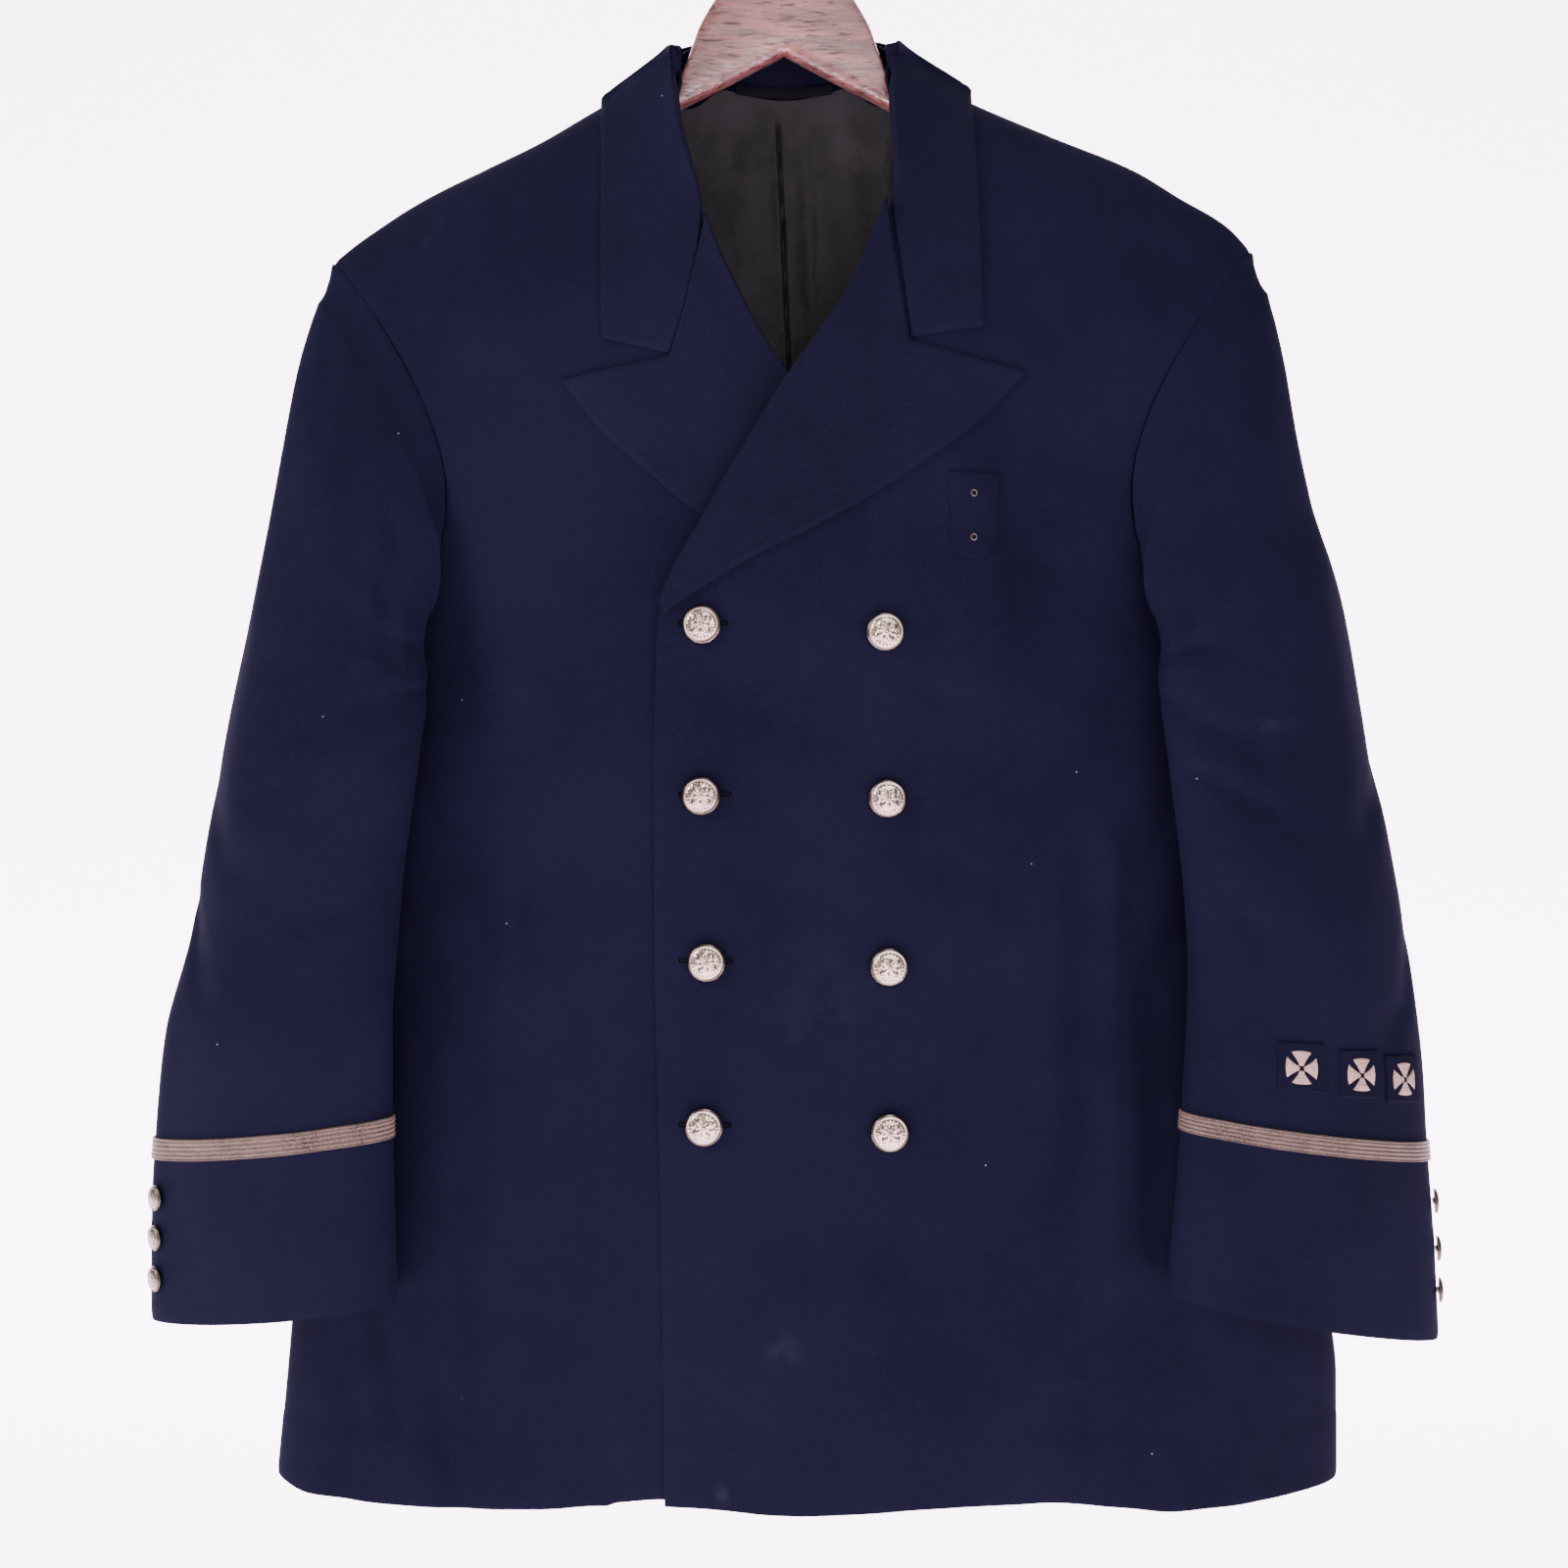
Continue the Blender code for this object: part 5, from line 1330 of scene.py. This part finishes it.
def cross_parts(ring, turn):
    """Four satin-stitched arms that widen to their ends, laid on the sleeve."""
    parts = []
    reach, side_share = np.meshgrid(np.linspace(0.0, 1, 26), np.linspace(-1, 1, 21))
    start, far = CROSS_WAIST * 0.55, CROSS * 0.46
    distance = mix(start, far, reach)
    half = mix(CROSS_WAIST * 0.5, CROSS_FLARE * 0.86, reach**1.3)
    bulge = 0.9 * (1 - side_share**2) * reach**6
    border = np.minimum((1 - np.abs(side_share)) * half, (1 - reach) * (far - start))
    satin = 0.09 * np.cos(2 * np.pi * distance / 0.55)
    high = 1.15 + 0.85 * smooth((border + 0.15) / 1.1) + satin - 0.25 * bell(border - 1.5, 0.35)
    for angle in np.arange(4) * np.pi / 2:
        a, b = side_share * half, distance + bulge
        a, b = a * np.cos(angle) - b * np.sin(angle), a * np.sin(angle) + b * np.cos(angle)
        parts.append(raised_parts(*laid_on_creased(ring, turn, a, b), high, 1.05))
    return parts


def make_service_patches(cloth, thread, stitch):
    """Dark stitched squares with a satin-stitched cross that widens to its ends on each."""
    edging = []
    half = PATCH / 2
    for number, x_at, down_at in zip(*SERVICE_PATCHES.values()):
        ring, turn = on_sleeve(RIGHT, x_at, down_at)
        across, along = np.meshgrid(np.linspace(-half, half, 45), np.linspace(-half, half, 45))
        base, normal = laid_on_creased(ring, turn, across, along)
        away = half - np.maximum(np.abs(across), np.abs(along))
        quilt = 0.12 * np.cos(2 * np.pi * along / 1.6) * smooth(away / 3)
        high = 0.45 + 0.75 * smooth((away + 0.3) / 1.2) + quilt
        name = f"patch_{number:.0f}"
        show(make_mesh(name, *raised_parts(base, normal, high, 0.2), cloth), "navy_wool", name)

        round_square = np.linspace(0, 4, 161)
        square_x = np.interp(round_square, range(5), (-1, 1, 1, -1, -1)) * (half - 1.1)
        square_y = np.interp(round_square, range(5), (-1, -1, 1, 1, -1)) * (half - 1.1)
        path, up = laid_on_creased(ring, turn, square_x, square_y)
        edging += stitches(path + up * 1.05, up, pitch=1.6, width=0.8, height=0.4)

        name = f"cross_{number:.0f}"
        show(joined(name, cross_parts(ring, turn), thread), "silver_braid", name)
    show(joined("patch_stitching", edging, stitch), "navy_wool")


def laid_on_creased(ring, turn, across, along):
    """Places and directions at distances across and along the right sleeve's creased cloth."""
    probe = 0.002
    middle = sleeve(RIGHT, ring, turn)
    per_turn = np.linalg.norm(sleeve(RIGHT, ring, turn + probe) - middle) / probe
    per_ring = np.linalg.norm(sleeve(RIGHT, ring + probe, turn) - middle) / probe
    rings = ring + np.asarray(along) / per_ring
    turns = turn - RIGHT * np.asarray(across) / per_turn
    return sleeve_surface(RIGHT, rings, turns)


def button_face(share, angle, plain):
    """Height of a button's face in millimetres of a 22.5 mm button: rim, beads and an eight-pointed star."""
    dome = 4.3 * np.sqrt(np.clip(1 - (share * 0.93) ** 2, 0, 1)) - 1.5
    face = dome + 0.55 * bell(share - 0.90, 0.045) - 0.28 * bell(share - 0.79, 0.05)
    if plain:
        return face + 0.25 * bell(share - 0.6, 0.10) * (0.5 + 0.5 * np.cos(16 * angle))
    beads = 0.30 * bell(share - 0.81, 0.035) * (0.5 + 0.5 * np.cos(44 * angle))
    long_point = 0.66 - 0.34 * np.abs(((angle * 4 / np.pi) % 2) - 1)
    short_point = 0.46 - 0.26 * np.abs(((angle * 4 / np.pi + 1) % 2) - 1)
    star = 0.55 * smooth((np.maximum(long_point, short_point) - share) / 0.10 + 0.3)
    ridges = 0.18 * np.cos(8 * angle) * bell(share - 0.33, 0.2)
    boss = 0.55 * smooth((0.17 - share) / 0.07)
    leaves = 0.22 * bell(share - 0.70, 0.045) * (0.5 + 0.5 * np.cos(24 * angle + 6 * share))
    return face + beads + star + ridges + boss + leaves


def make_button(name, width, place, facing, metal, plain, spin, slot_name):
    """A button's face by formula, over a back and a shank."""
    around, rows = (56, 20) if plain else (112, 34)
    angle = np.linspace(0, 2 * np.pi, around + 1)[:-1][None, :]
    share = np.concatenate([np.linspace(0.0, 0.96, rows), BUTTON_BACK["share"]])[:, None] + 0 * angle
    high = button_face(share, angle + spin, plain)
    rim_height = high[rows - 1, 0]
    high[rows:] = BUTTON_BACK["drop"][:, None]
    high[rows] += rim_height
    high = high * width / FRONT_BUTTON
    high = high - high[-1:].min() + 0.1
    out = np.array(facing, float)
    right = unit(np.cross((0, 0, 1.0), out))
    up = np.cross(out, right)
    flat = np.cos(angle)[..., None] * right + np.sin(angle)[..., None] * up
    grid = place + (share * width / 2)[..., None] * flat + high[..., None] * out
    faces = quads(numbered(*grid.shape[:2], closed=True))
    uv = np.zeros((grid.shape[0] * around, 2))
    show(make_mesh(name, grid.reshape(-1, 3), faces, uv, metal, sharp=60), slot_name, name)


BUTTON_BACK = table(
    "share drop",
    (0.985, -0.25),
    (1.0, -0.7),
    (1.0, -1.15),
    (0.96, -1.45),
    (0.86, -1.5),
    (0.30, -1.6),
    (0.24, -1.9),
    (0.24, -3.2),
)
BUTTON_SPIN = table("row left right", (1, 0.1, 0.3), (2, 0.02, -0.15), (3, -0.2, 0.12), (4, 0.25, -0.05))


def make_buttons(metal, dull_metal):
    for row, left, right, down_left, down_right in zip(*FRONT_BUTTONS.values()):
        for word, x, down in (("left", left, down_left), ("right", right, down_right)):
            x, down = np.array(x), np.array(down)
            normal = outward(over_y, x, down, FRONT)
            place = points(x, over_depth(x, down), down) + normal * 0.1
            spin = BUTTON_SPIN[word][int(row) - 1]
            make_button(f"button_{word}_{row:.0f}", FRONT_BUTTON, place, normal, metal, False, spin, "nickel")
    for side, word in SIDES:
        for number, down in enumerate(CUFF_BUTTON_DOWNS[side], 1):
            turn = CUFF_BUTTON_TURN[side]
            rings = np.linspace(9, 12, 301)
            ring = rings[np.argmin(np.abs(sleeve(side, rings, turn)[:, 2] + down))]
            place, normal = sleeve_surface(side, ring, np.array(turn))
            place = place + normal * 0.1
            name, spin = f"cuff_button_{word}_{number}", 0.3 * number
            make_button(name, CUFF_BUTTON, place, normal, dull_metal, True, spin, "dull_nickel")


def make_hanger_loop(tape):
    x = np.linspace(-LOOP["half"], LOOP["half"], 60)[None, :]
    across = np.linspace(0, 1, 10)[:, None]
    off = (x / LOOP["half"]) ** 2
    down = mix(LOOP["top"], LOOP["bottom"], across) + 1.5 * (1 - off)
    place = points(x, LOOP["y"] - 3 * off - 0.4 * np.sin(np.pi * across) - 1.2, down)
    show(shell("hanger_loop", place, grid_normals(place, (0, -1, 0)), 1.0, tape), "black_tape", "hanger_loop")


WOOD = table(
    "reach rise foot",
    (0, 47, 118),
    (14, 48.5, 125.5),
    (39, 34.7, 138.5),
    (52, 19.5, 145),
    (58, 5.5, 148),
    (64, -5, 151),
    (70, -5, 154),
    (120, -5, 180),
    (250, -5, 247),
)


def make_hanger_wood(wood):
    tip_start = WOOD_ARM - WOOD_TIP
    tip = np.linspace(tip_start + 0.5, WOOD_ARM, 10)
    arms = np.concatenate([np.linspace(0, 80, 70)[:-1], np.linspace(80, tip_start, 60), tip])
    x = np.concatenate([-arms[:0:-1], arms])
    reach = np.abs(x)
    top = read(RIDGE, "down", x) - read(WOOD, "rise", reach)
    foot = read(WOOD, "foot", reach) - np.maximum(reach - 200, 0) * 8 / 50
    foot = np.maximum(foot, top + 14)
    close = np.sqrt(np.clip(1 - np.clip((reach - tip_start) / WOOD_TIP, 0, 1) ** 2, 0.02, 1))
    middle = (top + foot) / 2
    tall = ((foot - top) / 2 * mix(1, close, 0.75))[:, None]
    half = ((WOOD_THICK / 2 - 0.3) * close)[:, None]
    angle = np.linspace(0, 2 * np.pi, 49)[:-1]
    cosine, sine = np.cos(angle), np.sin(angle)
    norm = (np.abs(cosine) ** WOOD_SQUARE + np.abs(sine) ** WOOD_SQUARE) ** (-1 / WOOD_SQUARE)
    rise = tall * sine * norm
    edge = np.maximum(np.abs(rise) - (tall - WOOD_CORNER), 0) / WOOD_CORNER
    across = half * cosine * norm * (1 - 0.32 * edge**2)
    grid = points(x[:, None], across, middle[:, None] - rise)
    index = numbered(*grid.shape[:2], closed=True)
    faces = quads(index).tolist() + [index[0, :-1].tolist(), index[-1, :-1].tolist()]
    show(make_mesh("hanger_wood", grid.reshape(-1, 3), faces, None, wood), "mahogany", "hanger_wood")


def make_hanger_hook(steel):
    radius = HOOK_INNER_RADIUS + HOOK_WIRE / 2
    turns = np.radians(np.linspace(-42, 205, 60))
    route = [(0, -WOOD_PEAK_DOWN - 4), (0, -54), (0.1, -50), (0.9, -46.5), (3.4, -42), (8.2, -37)]
    route += [(radius * np.cos(turn), -HOOK_INNER_RADIUS + radius * np.sin(turn)) for turn in turns]
    wire = bpy.data.curves.new("hanger_hook" + SHOWN, "CURVE")
    wire.dimensions = "3D"
    wire.bevel_depth = HOOK_WIRE / 2 * MM
    wire.bevel_resolution = 6
    wire.use_fill_caps = True
    spline = wire.splines.new("POLY")
    spline.points.add(len(route) - 1)
    for point, (x_at, z_at) in zip(spline.points, route):
        point.co = (x_at * MM, 0, z_at * MM, 1)
    wire.materials.append(steel)
    show(put("hanger_hook" + SHOWN, wire), "bright_steel", "hanger_hook")


# Shares of light, colours in red, green and blue from 0 to 1
METAL_SPECULAR, CLOTH_SPECULAR = 0.5, 0.08
NAVY, NAVY_LIGHT = (0.0028, 0.0027, 0.0094), (0.0042, 0.0040, 0.0134)
COLLAR_NAVY, COLLAR_LIGHT = (0.0031, 0.0030, 0.0094), (0.0046, 0.0044, 0.0134)
TRIM_NAVY, TRIM_LIGHT = (0.0024, 0.0023, 0.0078), (0.0036, 0.0034, 0.0110)
RUBBED, LINT, SHEEN = (0.22, 0.22, 0.34), (0.35, 0.33, 0.36), (0.35, 0.38, 0.9)
# The buttonhole thread is near-black: painted shade of the slit between its stitches
THREAD, SLIT_SHADE, TAPE = (0.0026, 0.0025, 0.0085), (0.0006, 0.0006, 0.0014), (0.003, 0.003, 0.004)
# The lining's lighter colour is painted sheen of its small folds, mixed with its own uneven tone
LINING_DARK, LINING_SHEEN_PAINTED = (0.0030, 0.0025, 0.0032), (0.0105, 0.0088, 0.0110)
BRAID, BRAID_TARNISH, BRAID_BRIGHT = (0.125, 0.084, 0.066), (0.040, 0.026, 0.021), (0.20, 0.142, 0.118)
SILVER, SILVER_TARNISH, SILVER_BRIGHT = (0.33, 0.205, 0.168), (0.17, 0.105, 0.085), (0.50, 0.35, 0.30)
NICKEL, DULL_NICKEL, STEEL = (0.62, 0.46, 0.39), (0.34, 0.27, 0.225), (0.62, 0.62, 0.62)
# The colour that the metal's hollows are darkened towards
HOLLOW_DARK = (0.05, 0.04, 0.035)
WOOD_RED, WOOD_DARK, WOOD_LIGHT = (0.13, 0.035, 0.022), (0.070, 0.012, 0.010), (0.21, 0.055, 0.045)
WOOD_RINGS, WOOD_PORES = (0.035, 0.007, 0.006), (0.020, 0.004, 0.004)
WALL, WALL_GLOW = (0.92, 0.86, 0.91), (1.0, 0.80, 0.96)

# Lamps: name, place, size, power and colour; the camera's place and lens
LAMPS = (
    ("key", (-1.75, -1.05, 0.45), 0.9, 58, (1.0, 0.97, 0.95)),
    ("front", (0.5, -2.4, 0.2), 1.4, 34, (1.0, 0.97, 0.98)),
    ("top", (0.3, -0.5, 1.3), 1.0, 14, (0.96, 0.97, 1.0)),
)
CAMERA = (0, -1.060, -0.567)
LENS = 39.47


def feed(made, sockets):
    """Gives a node's inputs, by name or number, a value or another node's output."""
    for name, value in sockets.items():
        target = made.inputs[name]
        if isinstance(value, bpy.types.NodeSocket):
            made.id_data.links.new(value, target)
        elif target.type == "RGBA":
            target.default_value = (*value, 1)
        else:
            target.default_value = value
    return made


def node(tree, kind, **sockets):
    return feed(tree.nodes.new(kind), {name.replace("_", " "): value for name, value in sockets.items()})


def plain_material(name, colour, roughness, metallic=0.0):
    material = bpy.data.materials.new(name)
    material.use_nodes = True
    shader = material.node_tree.nodes["Principled BSDF"]
    feed(shader, {"Base Color": colour, "Roughness": roughness, "Metallic": metallic})
    feed(shader, {"Specular IOR Level": METAL_SPECULAR if metallic else CLOTH_SPECULAR})
    return material, material.node_tree, shader


def noise(tree, vector, scale, detail=3.0, rough=0.5):
    made = node(tree, "ShaderNodeTexNoise", Vector=vector, Scale=scale, Detail=detail, Roughness=rough)
    return made.outputs["Fac"]


def ramp(tree, factor, low, high):
    """A factor stretched to go from 0 at low to 1 at high."""
    made = tree.nodes.new("ShaderNodeMapRange")
    made.interpolation_type = "SMOOTHSTEP"
    return feed(made, {"Value": factor, "From Min": low, "From Max": high}).outputs["Result"]


def blend(tree, factor, first, last):
    """One colour turning into another."""
    made = tree.nodes.new("ShaderNodeMix")
    made.data_type = "RGBA"
    return feed(made, {0: factor, 6: first, 7: last}).outputs[2]


def times(tree, first, second):
    made = tree.nodes.new("ShaderNodeMath")
    made.operation = "MULTIPLY"
    return feed(made, {0: first, 1: second}).outputs[0]


def place_on(tree, kind):
    return tree.nodes.new("ShaderNodeTexCoord").outputs[kind]


def near(tree, where, centre, radius):
    """1 at a place in metres, falling to 0 at a distance."""
    apart = tree.nodes.new("ShaderNodeVectorMath")
    apart.operation = "DISTANCE"
    return ramp(tree, feed(apart, {0: where, 1: centre}).outputs["Value"], radius, 0.0)


def bump(tree, height, distance, strength, before=None):
    made = node(tree, "ShaderNodeBump", Height=height, Distance=distance, Strength=strength)
    if before is not None:
        feed(made, {"Normal": before})
    return made.outputs["Normal"]


# Pale rubs on the cloth, by place and radius in metres, with their strength
RUBS = table(
    "x z radius strength",
    (-0.002, -0.899, 0.012, 0.020),
    (0.004, -0.894, 0.024, 0.010),
    (-0.034, -0.980, 0.010, 0.030),
    (-0.216, -0.231, 0.014, 0.030),
    (0.280, -0.530, 0.022, 0.020),
    (0.040, -0.376, 0.030, 0.012),
    (0.020, -0.700, 0.060, 0.006),
)


def wool_material(name, colour, light, rubs=True):
    """Close navy wool: a fine twill, a brushed nap that catches light at a slant, patches, rubs and lint."""
    material, tree, shader = plain_material(name, colour, 0.88)
    space = place_on(tree, "Object")
    patches = noise(tree, space, 9.0, 4.0, 0.55)
    mottled = noise(tree, space, 70.0, 3.0, 0.6)
    nap = noise(tree, space, 900.0, 4.0, 0.7)
    tone = blend(tree, ramp(tree, patches, 0.30, 0.72), colour, light)
    tone = blend(tree, times(tree, ramp(tree, mottled, 0.45, 0.75), 0.35), tone, light)
    tone = blend(tree, times(tree, ramp(tree, nap, 0.50, 0.80), 0.7), tone, tuple(2.2 * v for v in light))
    if rubs:
        flat_space = node(tree, "ShaderNodeMapping", Vector=space, Scale=(1, 0, 1)).outputs["Vector"]
        axes = node(tree, "ShaderNodeSeparateXYZ", Vector=space)
        in_front = ramp(tree, axes.outputs["Y"], -0.005, -0.03)
        for x, z, radius, strength in zip(*RUBS.values()):
            spot = times(tree, near(tree, flat_space, (x, 0, z), radius), in_front)
            spot = times(tree, spot, ramp(tree, mottled, 0.35, 0.65))
            tone = blend(tree, times(tree, spot, strength), tone, RUBBED)
    specks = node(tree, "ShaderNodeTexVoronoi", Vector=space, Scale=110.0)
    speck = ramp(tree, specks.outputs["Distance"], 0.075, 0.02)
    chosen = feed(tree.nodes.new("ShaderNodeSeparateColor"), {0: specks.outputs["Color"]})
    few = ramp(tree, chosen.outputs[0], 0.982, 0.985)
    tone = blend(tree, times(tree, times(tree, speck, few), 0.55), tone, LINT)
    cloth = place_on(tree, "UV")
    twill = node(tree, "ShaderNodeTexWave", Vector=cloth, Scale=260.0, Distortion=0.6, Detail=1.0)
    twill.bands_direction = "DIAGONAL"
    rough = bump(tree, noise(tree, space, 420.0, 4.0, 0.75), 0.0006, 0.55)
    rough = bump(tree, twill.outputs["Fac"], 0.0002, 0.35, rough)
    soft = bump(tree, mottled, 0.0012, 0.35, rough)
    feed(shader, {"Base Color": tone, "Normal": soft, "Specular IOR Level": 0.035})
    feed(shader, {"Sheen Weight": 0.012, "Sheen Roughness": 0.5, "Sheen Tint": SHEEN})
    return material


def lining_material():
    material, tree, shader = plain_material("black_lining", LINING_DARK, 0.6)
    space = place_on(tree, "Object")
    # Noise patches between the lining's colour and a lighter one: partly uneven tone, partly painted sheen on
    # small folds
    patches = ramp(tree, noise(tree, space, 34.0, 4.0, 0.6), 0.3, 0.7)
    weave = node(tree, "ShaderNodeTexWave", Vector=place_on(tree, "UV"), Scale=520.0)
    low = bump(tree, noise(tree, space, 42.0, 4.0), 0.004, 0.8)
    feed(shader, {"Base Color": blend(tree, patches, LINING_DARK, LINING_SHEEN_PAINTED), "Specular IOR Level": 0.2})
    feed(shader, {"Normal": bump(tree, weave.outputs["Fac"], 0.0001, 0.3, low)})
    return material


def braid_material(name, clean, tarnished, bright, metallic):
    """Tarnished metal thread, ribbed by its weave."""
    material, tree, shader = plain_material(name, clean, 0.5, metallic)
    space = place_on(tree, "Object")
    tarnish = ramp(tree, noise(tree, space, 55.0, 4.0, 0.6), 0.35, 0.75)
    fine = ramp(tree, noise(tree, space, 900.0, 2.0), 0.3, 0.8)
    tone = blend(tree, fine, blend(tree, tarnish, clean, tarnished), bright)
    cloth = place_on(tree, "UV")
    threads = node(tree, "ShaderNodeTexWave", Vector=cloth, Scale=330.0, Distortion=1.5, Detail=2.0)
    threads.bands_direction = "X"
    feed(shader, {"Base Color": tone, "Normal": bump(tree, threads.outputs["Fac"], 0.0004, 0.9)})
    return material


def metal_material(name, colour, roughness, dull):
    """Worn plate: the hollows are turned darker, the raised parts keep the bright plate, and random patches
    are duller.
    """
    material, tree, shader = plain_material(name, colour, roughness, 1.0)
    space = place_on(tree, "Object")
    worn = ramp(tree, noise(tree, space, 160.0, 4.0, 0.6), 0.3, 0.75)
    # Hollows, found by the mesh's pointiness, are turned darker
    hollow = ramp(tree, tree.nodes.new("ShaderNodeNewGeometry").outputs["Pointiness"], 0.505, 0.47)
    tone = blend(tree, worn, colour, tuple(v * dull for v in colour))
    tone = blend(tree, times(tree, hollow, 0.9), tone, HOLLOW_DARK)
    feed(shader, {"Base Color": tone, "Normal": bump(tree, noise(tree, space, 1400.0, 3.0), 0.0001, 0.25)})
    return material


def wood_material():
    """Dark polished wood: a base with its grain, and a coat of varnish that the pores break."""
    material, tree, shader = plain_material("mahogany", WOOD_RED, 0.28)
    stretched = node(tree, "ShaderNodeMapping", Vector=place_on(tree, "Object"), Rotation=(0, 0.5, 0))
    along = feed(stretched, {"Scale": (4.0, 30.0, 30.0)}).outputs["Vector"]
    grain = noise(tree, along, 5.0, 6.0, 0.65)
    rings = node(tree, "ShaderNodeTexWave", Vector=along, Scale=1.3, Distortion=6.0, Detail=3.0)
    tone = blend(tree, ramp(tree, grain, 0.35, 0.65), WOOD_DARK, WOOD_LIGHT)
    tone = blend(tree, times(tree, rings.outputs["Fac"], 0.4), tone, WOOD_RINGS)
    pore = ramp(tree, noise(tree, along, 16.0, 3.0, 0.6), 0.54, 0.66)
    tone = blend(tree, times(tree, pore, 0.8), tone, WOOD_PORES)
    coat = blend(tree, pore, (0.85, 0.85, 0.85), (0.15, 0.15, 0.15))
    specks = ramp(tree, noise(tree, along, 14.0, 3.0, 0.6), 0.42, 0.58)
    feed(shader, {"Base Color": tone, "Specular IOR Level": METAL_SPECULAR, "Coat Weight": coat})
    feed(shader, {"Coat Roughness": 0.3, "Coat IOR": 1.9, "Coat Normal": bump(tree, specks, 0.002, 1.0)})
    feed(shader, {"Normal": bump(tree, grain, 0.0004, 0.3)})
    return material


def stage_and_light():
    """A pale wall and floor, soft light from both sides, and the camera."""
    wall_material, _, shader = plain_material("pale_wall", WALL, 0.9)
    feed(shader, {"Emission Color": WALL_GLOW, "Emission Strength": 5.5})
    for name, place, upright in (("wall", (0, 3.0, -0.2), True), ("floor", (0, 0, -1.75), False)):
        turn = (np.pi / 2 if upright else 0, 0, 0)
        bpy.ops.mesh.primitive_plane_add(size=9.0, location=place, rotation=turn)
        plane = bpy.context.object
        plane.name = name
        plane.data.materials.append(wall_material)
    for name, place, size, power, colour in LAMPS:
        lamp = bpy.data.lights.new(name, "AREA")
        lamp.size, lamp.energy, lamp.color = size, power, colour
        aim = Vector((0, 0, -0.6)) - Vector(place)
        put(name, lamp, place, aim.to_track_quat("-Z", "Y").to_euler())
    world = bpy.data.worlds.new("studio")
    world.use_nodes = True
    feed(world.node_tree.nodes["Background"], {"Color": (1.0, 0.97, 1.0), "Strength": 0.45})
    bpy.context.scene.world = world
    lens = bpy.data.cameras.new("camera")
    lens.sensor_width, lens.lens, lens.clip_start = 36, LENS, 0.01
    bpy.context.scene.camera = put("camera", lens, CAMERA, (np.pi / 2, 0, 0))


# Flat sizes of the cut pieces in metres, and their flat areas in square metres
CUTS = {
    "front_under": (0.42, 0.90, 0.275),
    "front_over": (0.44, 0.90, 0.285),
    "back_viewer_left": (0.34, 0.87, 0.238),
    "back_viewer_right": (0.36, 0.87, 0.248),
    "back_lining": (0.43, 0.83, 0.33),
    "sleeve_top_left": (0.23, 0.66, 0.097),
    "sleeve_top_right": (0.23, 0.68, 0.101),
    "sleeve_under_left": (0.20, 0.60, 0.081),
    "sleeve_under_right": (0.20, 0.62, 0.085),
    "collar_leaf": (0.08, 0.70, 0.035),
    "collar_stand": (0.02, 0.30, 0.0048),
    **dict.fromkeys(("lapel_under", "lapel_over"), (0.10, 0.28, 0.018)),
    "badge_tab": (0.0285, 0.05, 0.0013),
    **dict.fromkeys(("braid_left", "braid_right"), (0.0125, 0.40, 0.005)),
    **dict.fromkeys(("patch_1", "patch_2", "patch_3"), (0.028, 0.028, 0.00078)),
}


def main():
    navy = wool_material("navy_wool_shown", NAVY, NAVY_LIGHT)
    collar_wool = wool_material("collar_wool", COLLAR_NAVY, COLLAR_LIGHT, rubs=False)
    trim_wool = wool_material("trim_wool", TRIM_NAVY, TRIM_LIGHT, rubs=False)
    thread = plain_material("navy_thread", THREAD, 0.85)[0]
    # Buttonhole stitches in near-black, painted shade of the slit between them
    slit_shade_thread = plain_material("buttonhole_thread_painted_shade", SLIT_SHADE, 0.95)[0]
    tape = plain_material("black_tape_shown", TAPE, 0.9)[0]
    braid = braid_material("silver_braid", BRAID, BRAID_TARNISH, BRAID_BRIGHT, 0.45)
    silver_thread = braid_material("silver_thread", SILVER, SILVER_TARNISH, SILVER_BRIGHT, 0.2)
    nickel = metal_material("nickel_shown", NICKEL, 0.22, 0.6)
    dull_nickel = metal_material("dull_nickel_shown", DULL_NICKEL, 0.32, 0.55)
    steel = plain_material("steel_shown", STEEL, 0.22, 1.0)[0]

    make_fronts(navy, thread)
    show(joined("buttonholes", buttonhole_rows(), slit_shade_thread), "navy_wool")
    make_back(navy)
    make_shoulder_tape(navy)
    make_lining(lining_material())
    make_sleeves(navy)
    make_braid(braid)
    make_collar_leaf(collar_wool, thread)
    make_collar_stand(collar_wool)
    rows = make_lapel("under", front_depth, UNDER_EDGE, 3, collar_wool)
    rows += make_lapel("over", over_depth, OVER_EDGE, 0.85, collar_wool)
    show(joined("lapel_stitching", rows, thread), "navy_wool")
    make_badge_tab(navy, thread, dull_nickel)
    make_service_patches(trim_wool, silver_thread, thread)
    make_buttons(nickel, dull_nickel)
    make_hanger_loop(tape)
    make_hanger_wood(wood_material())
    make_hanger_hook(steel)
    stage_and_light()


main()
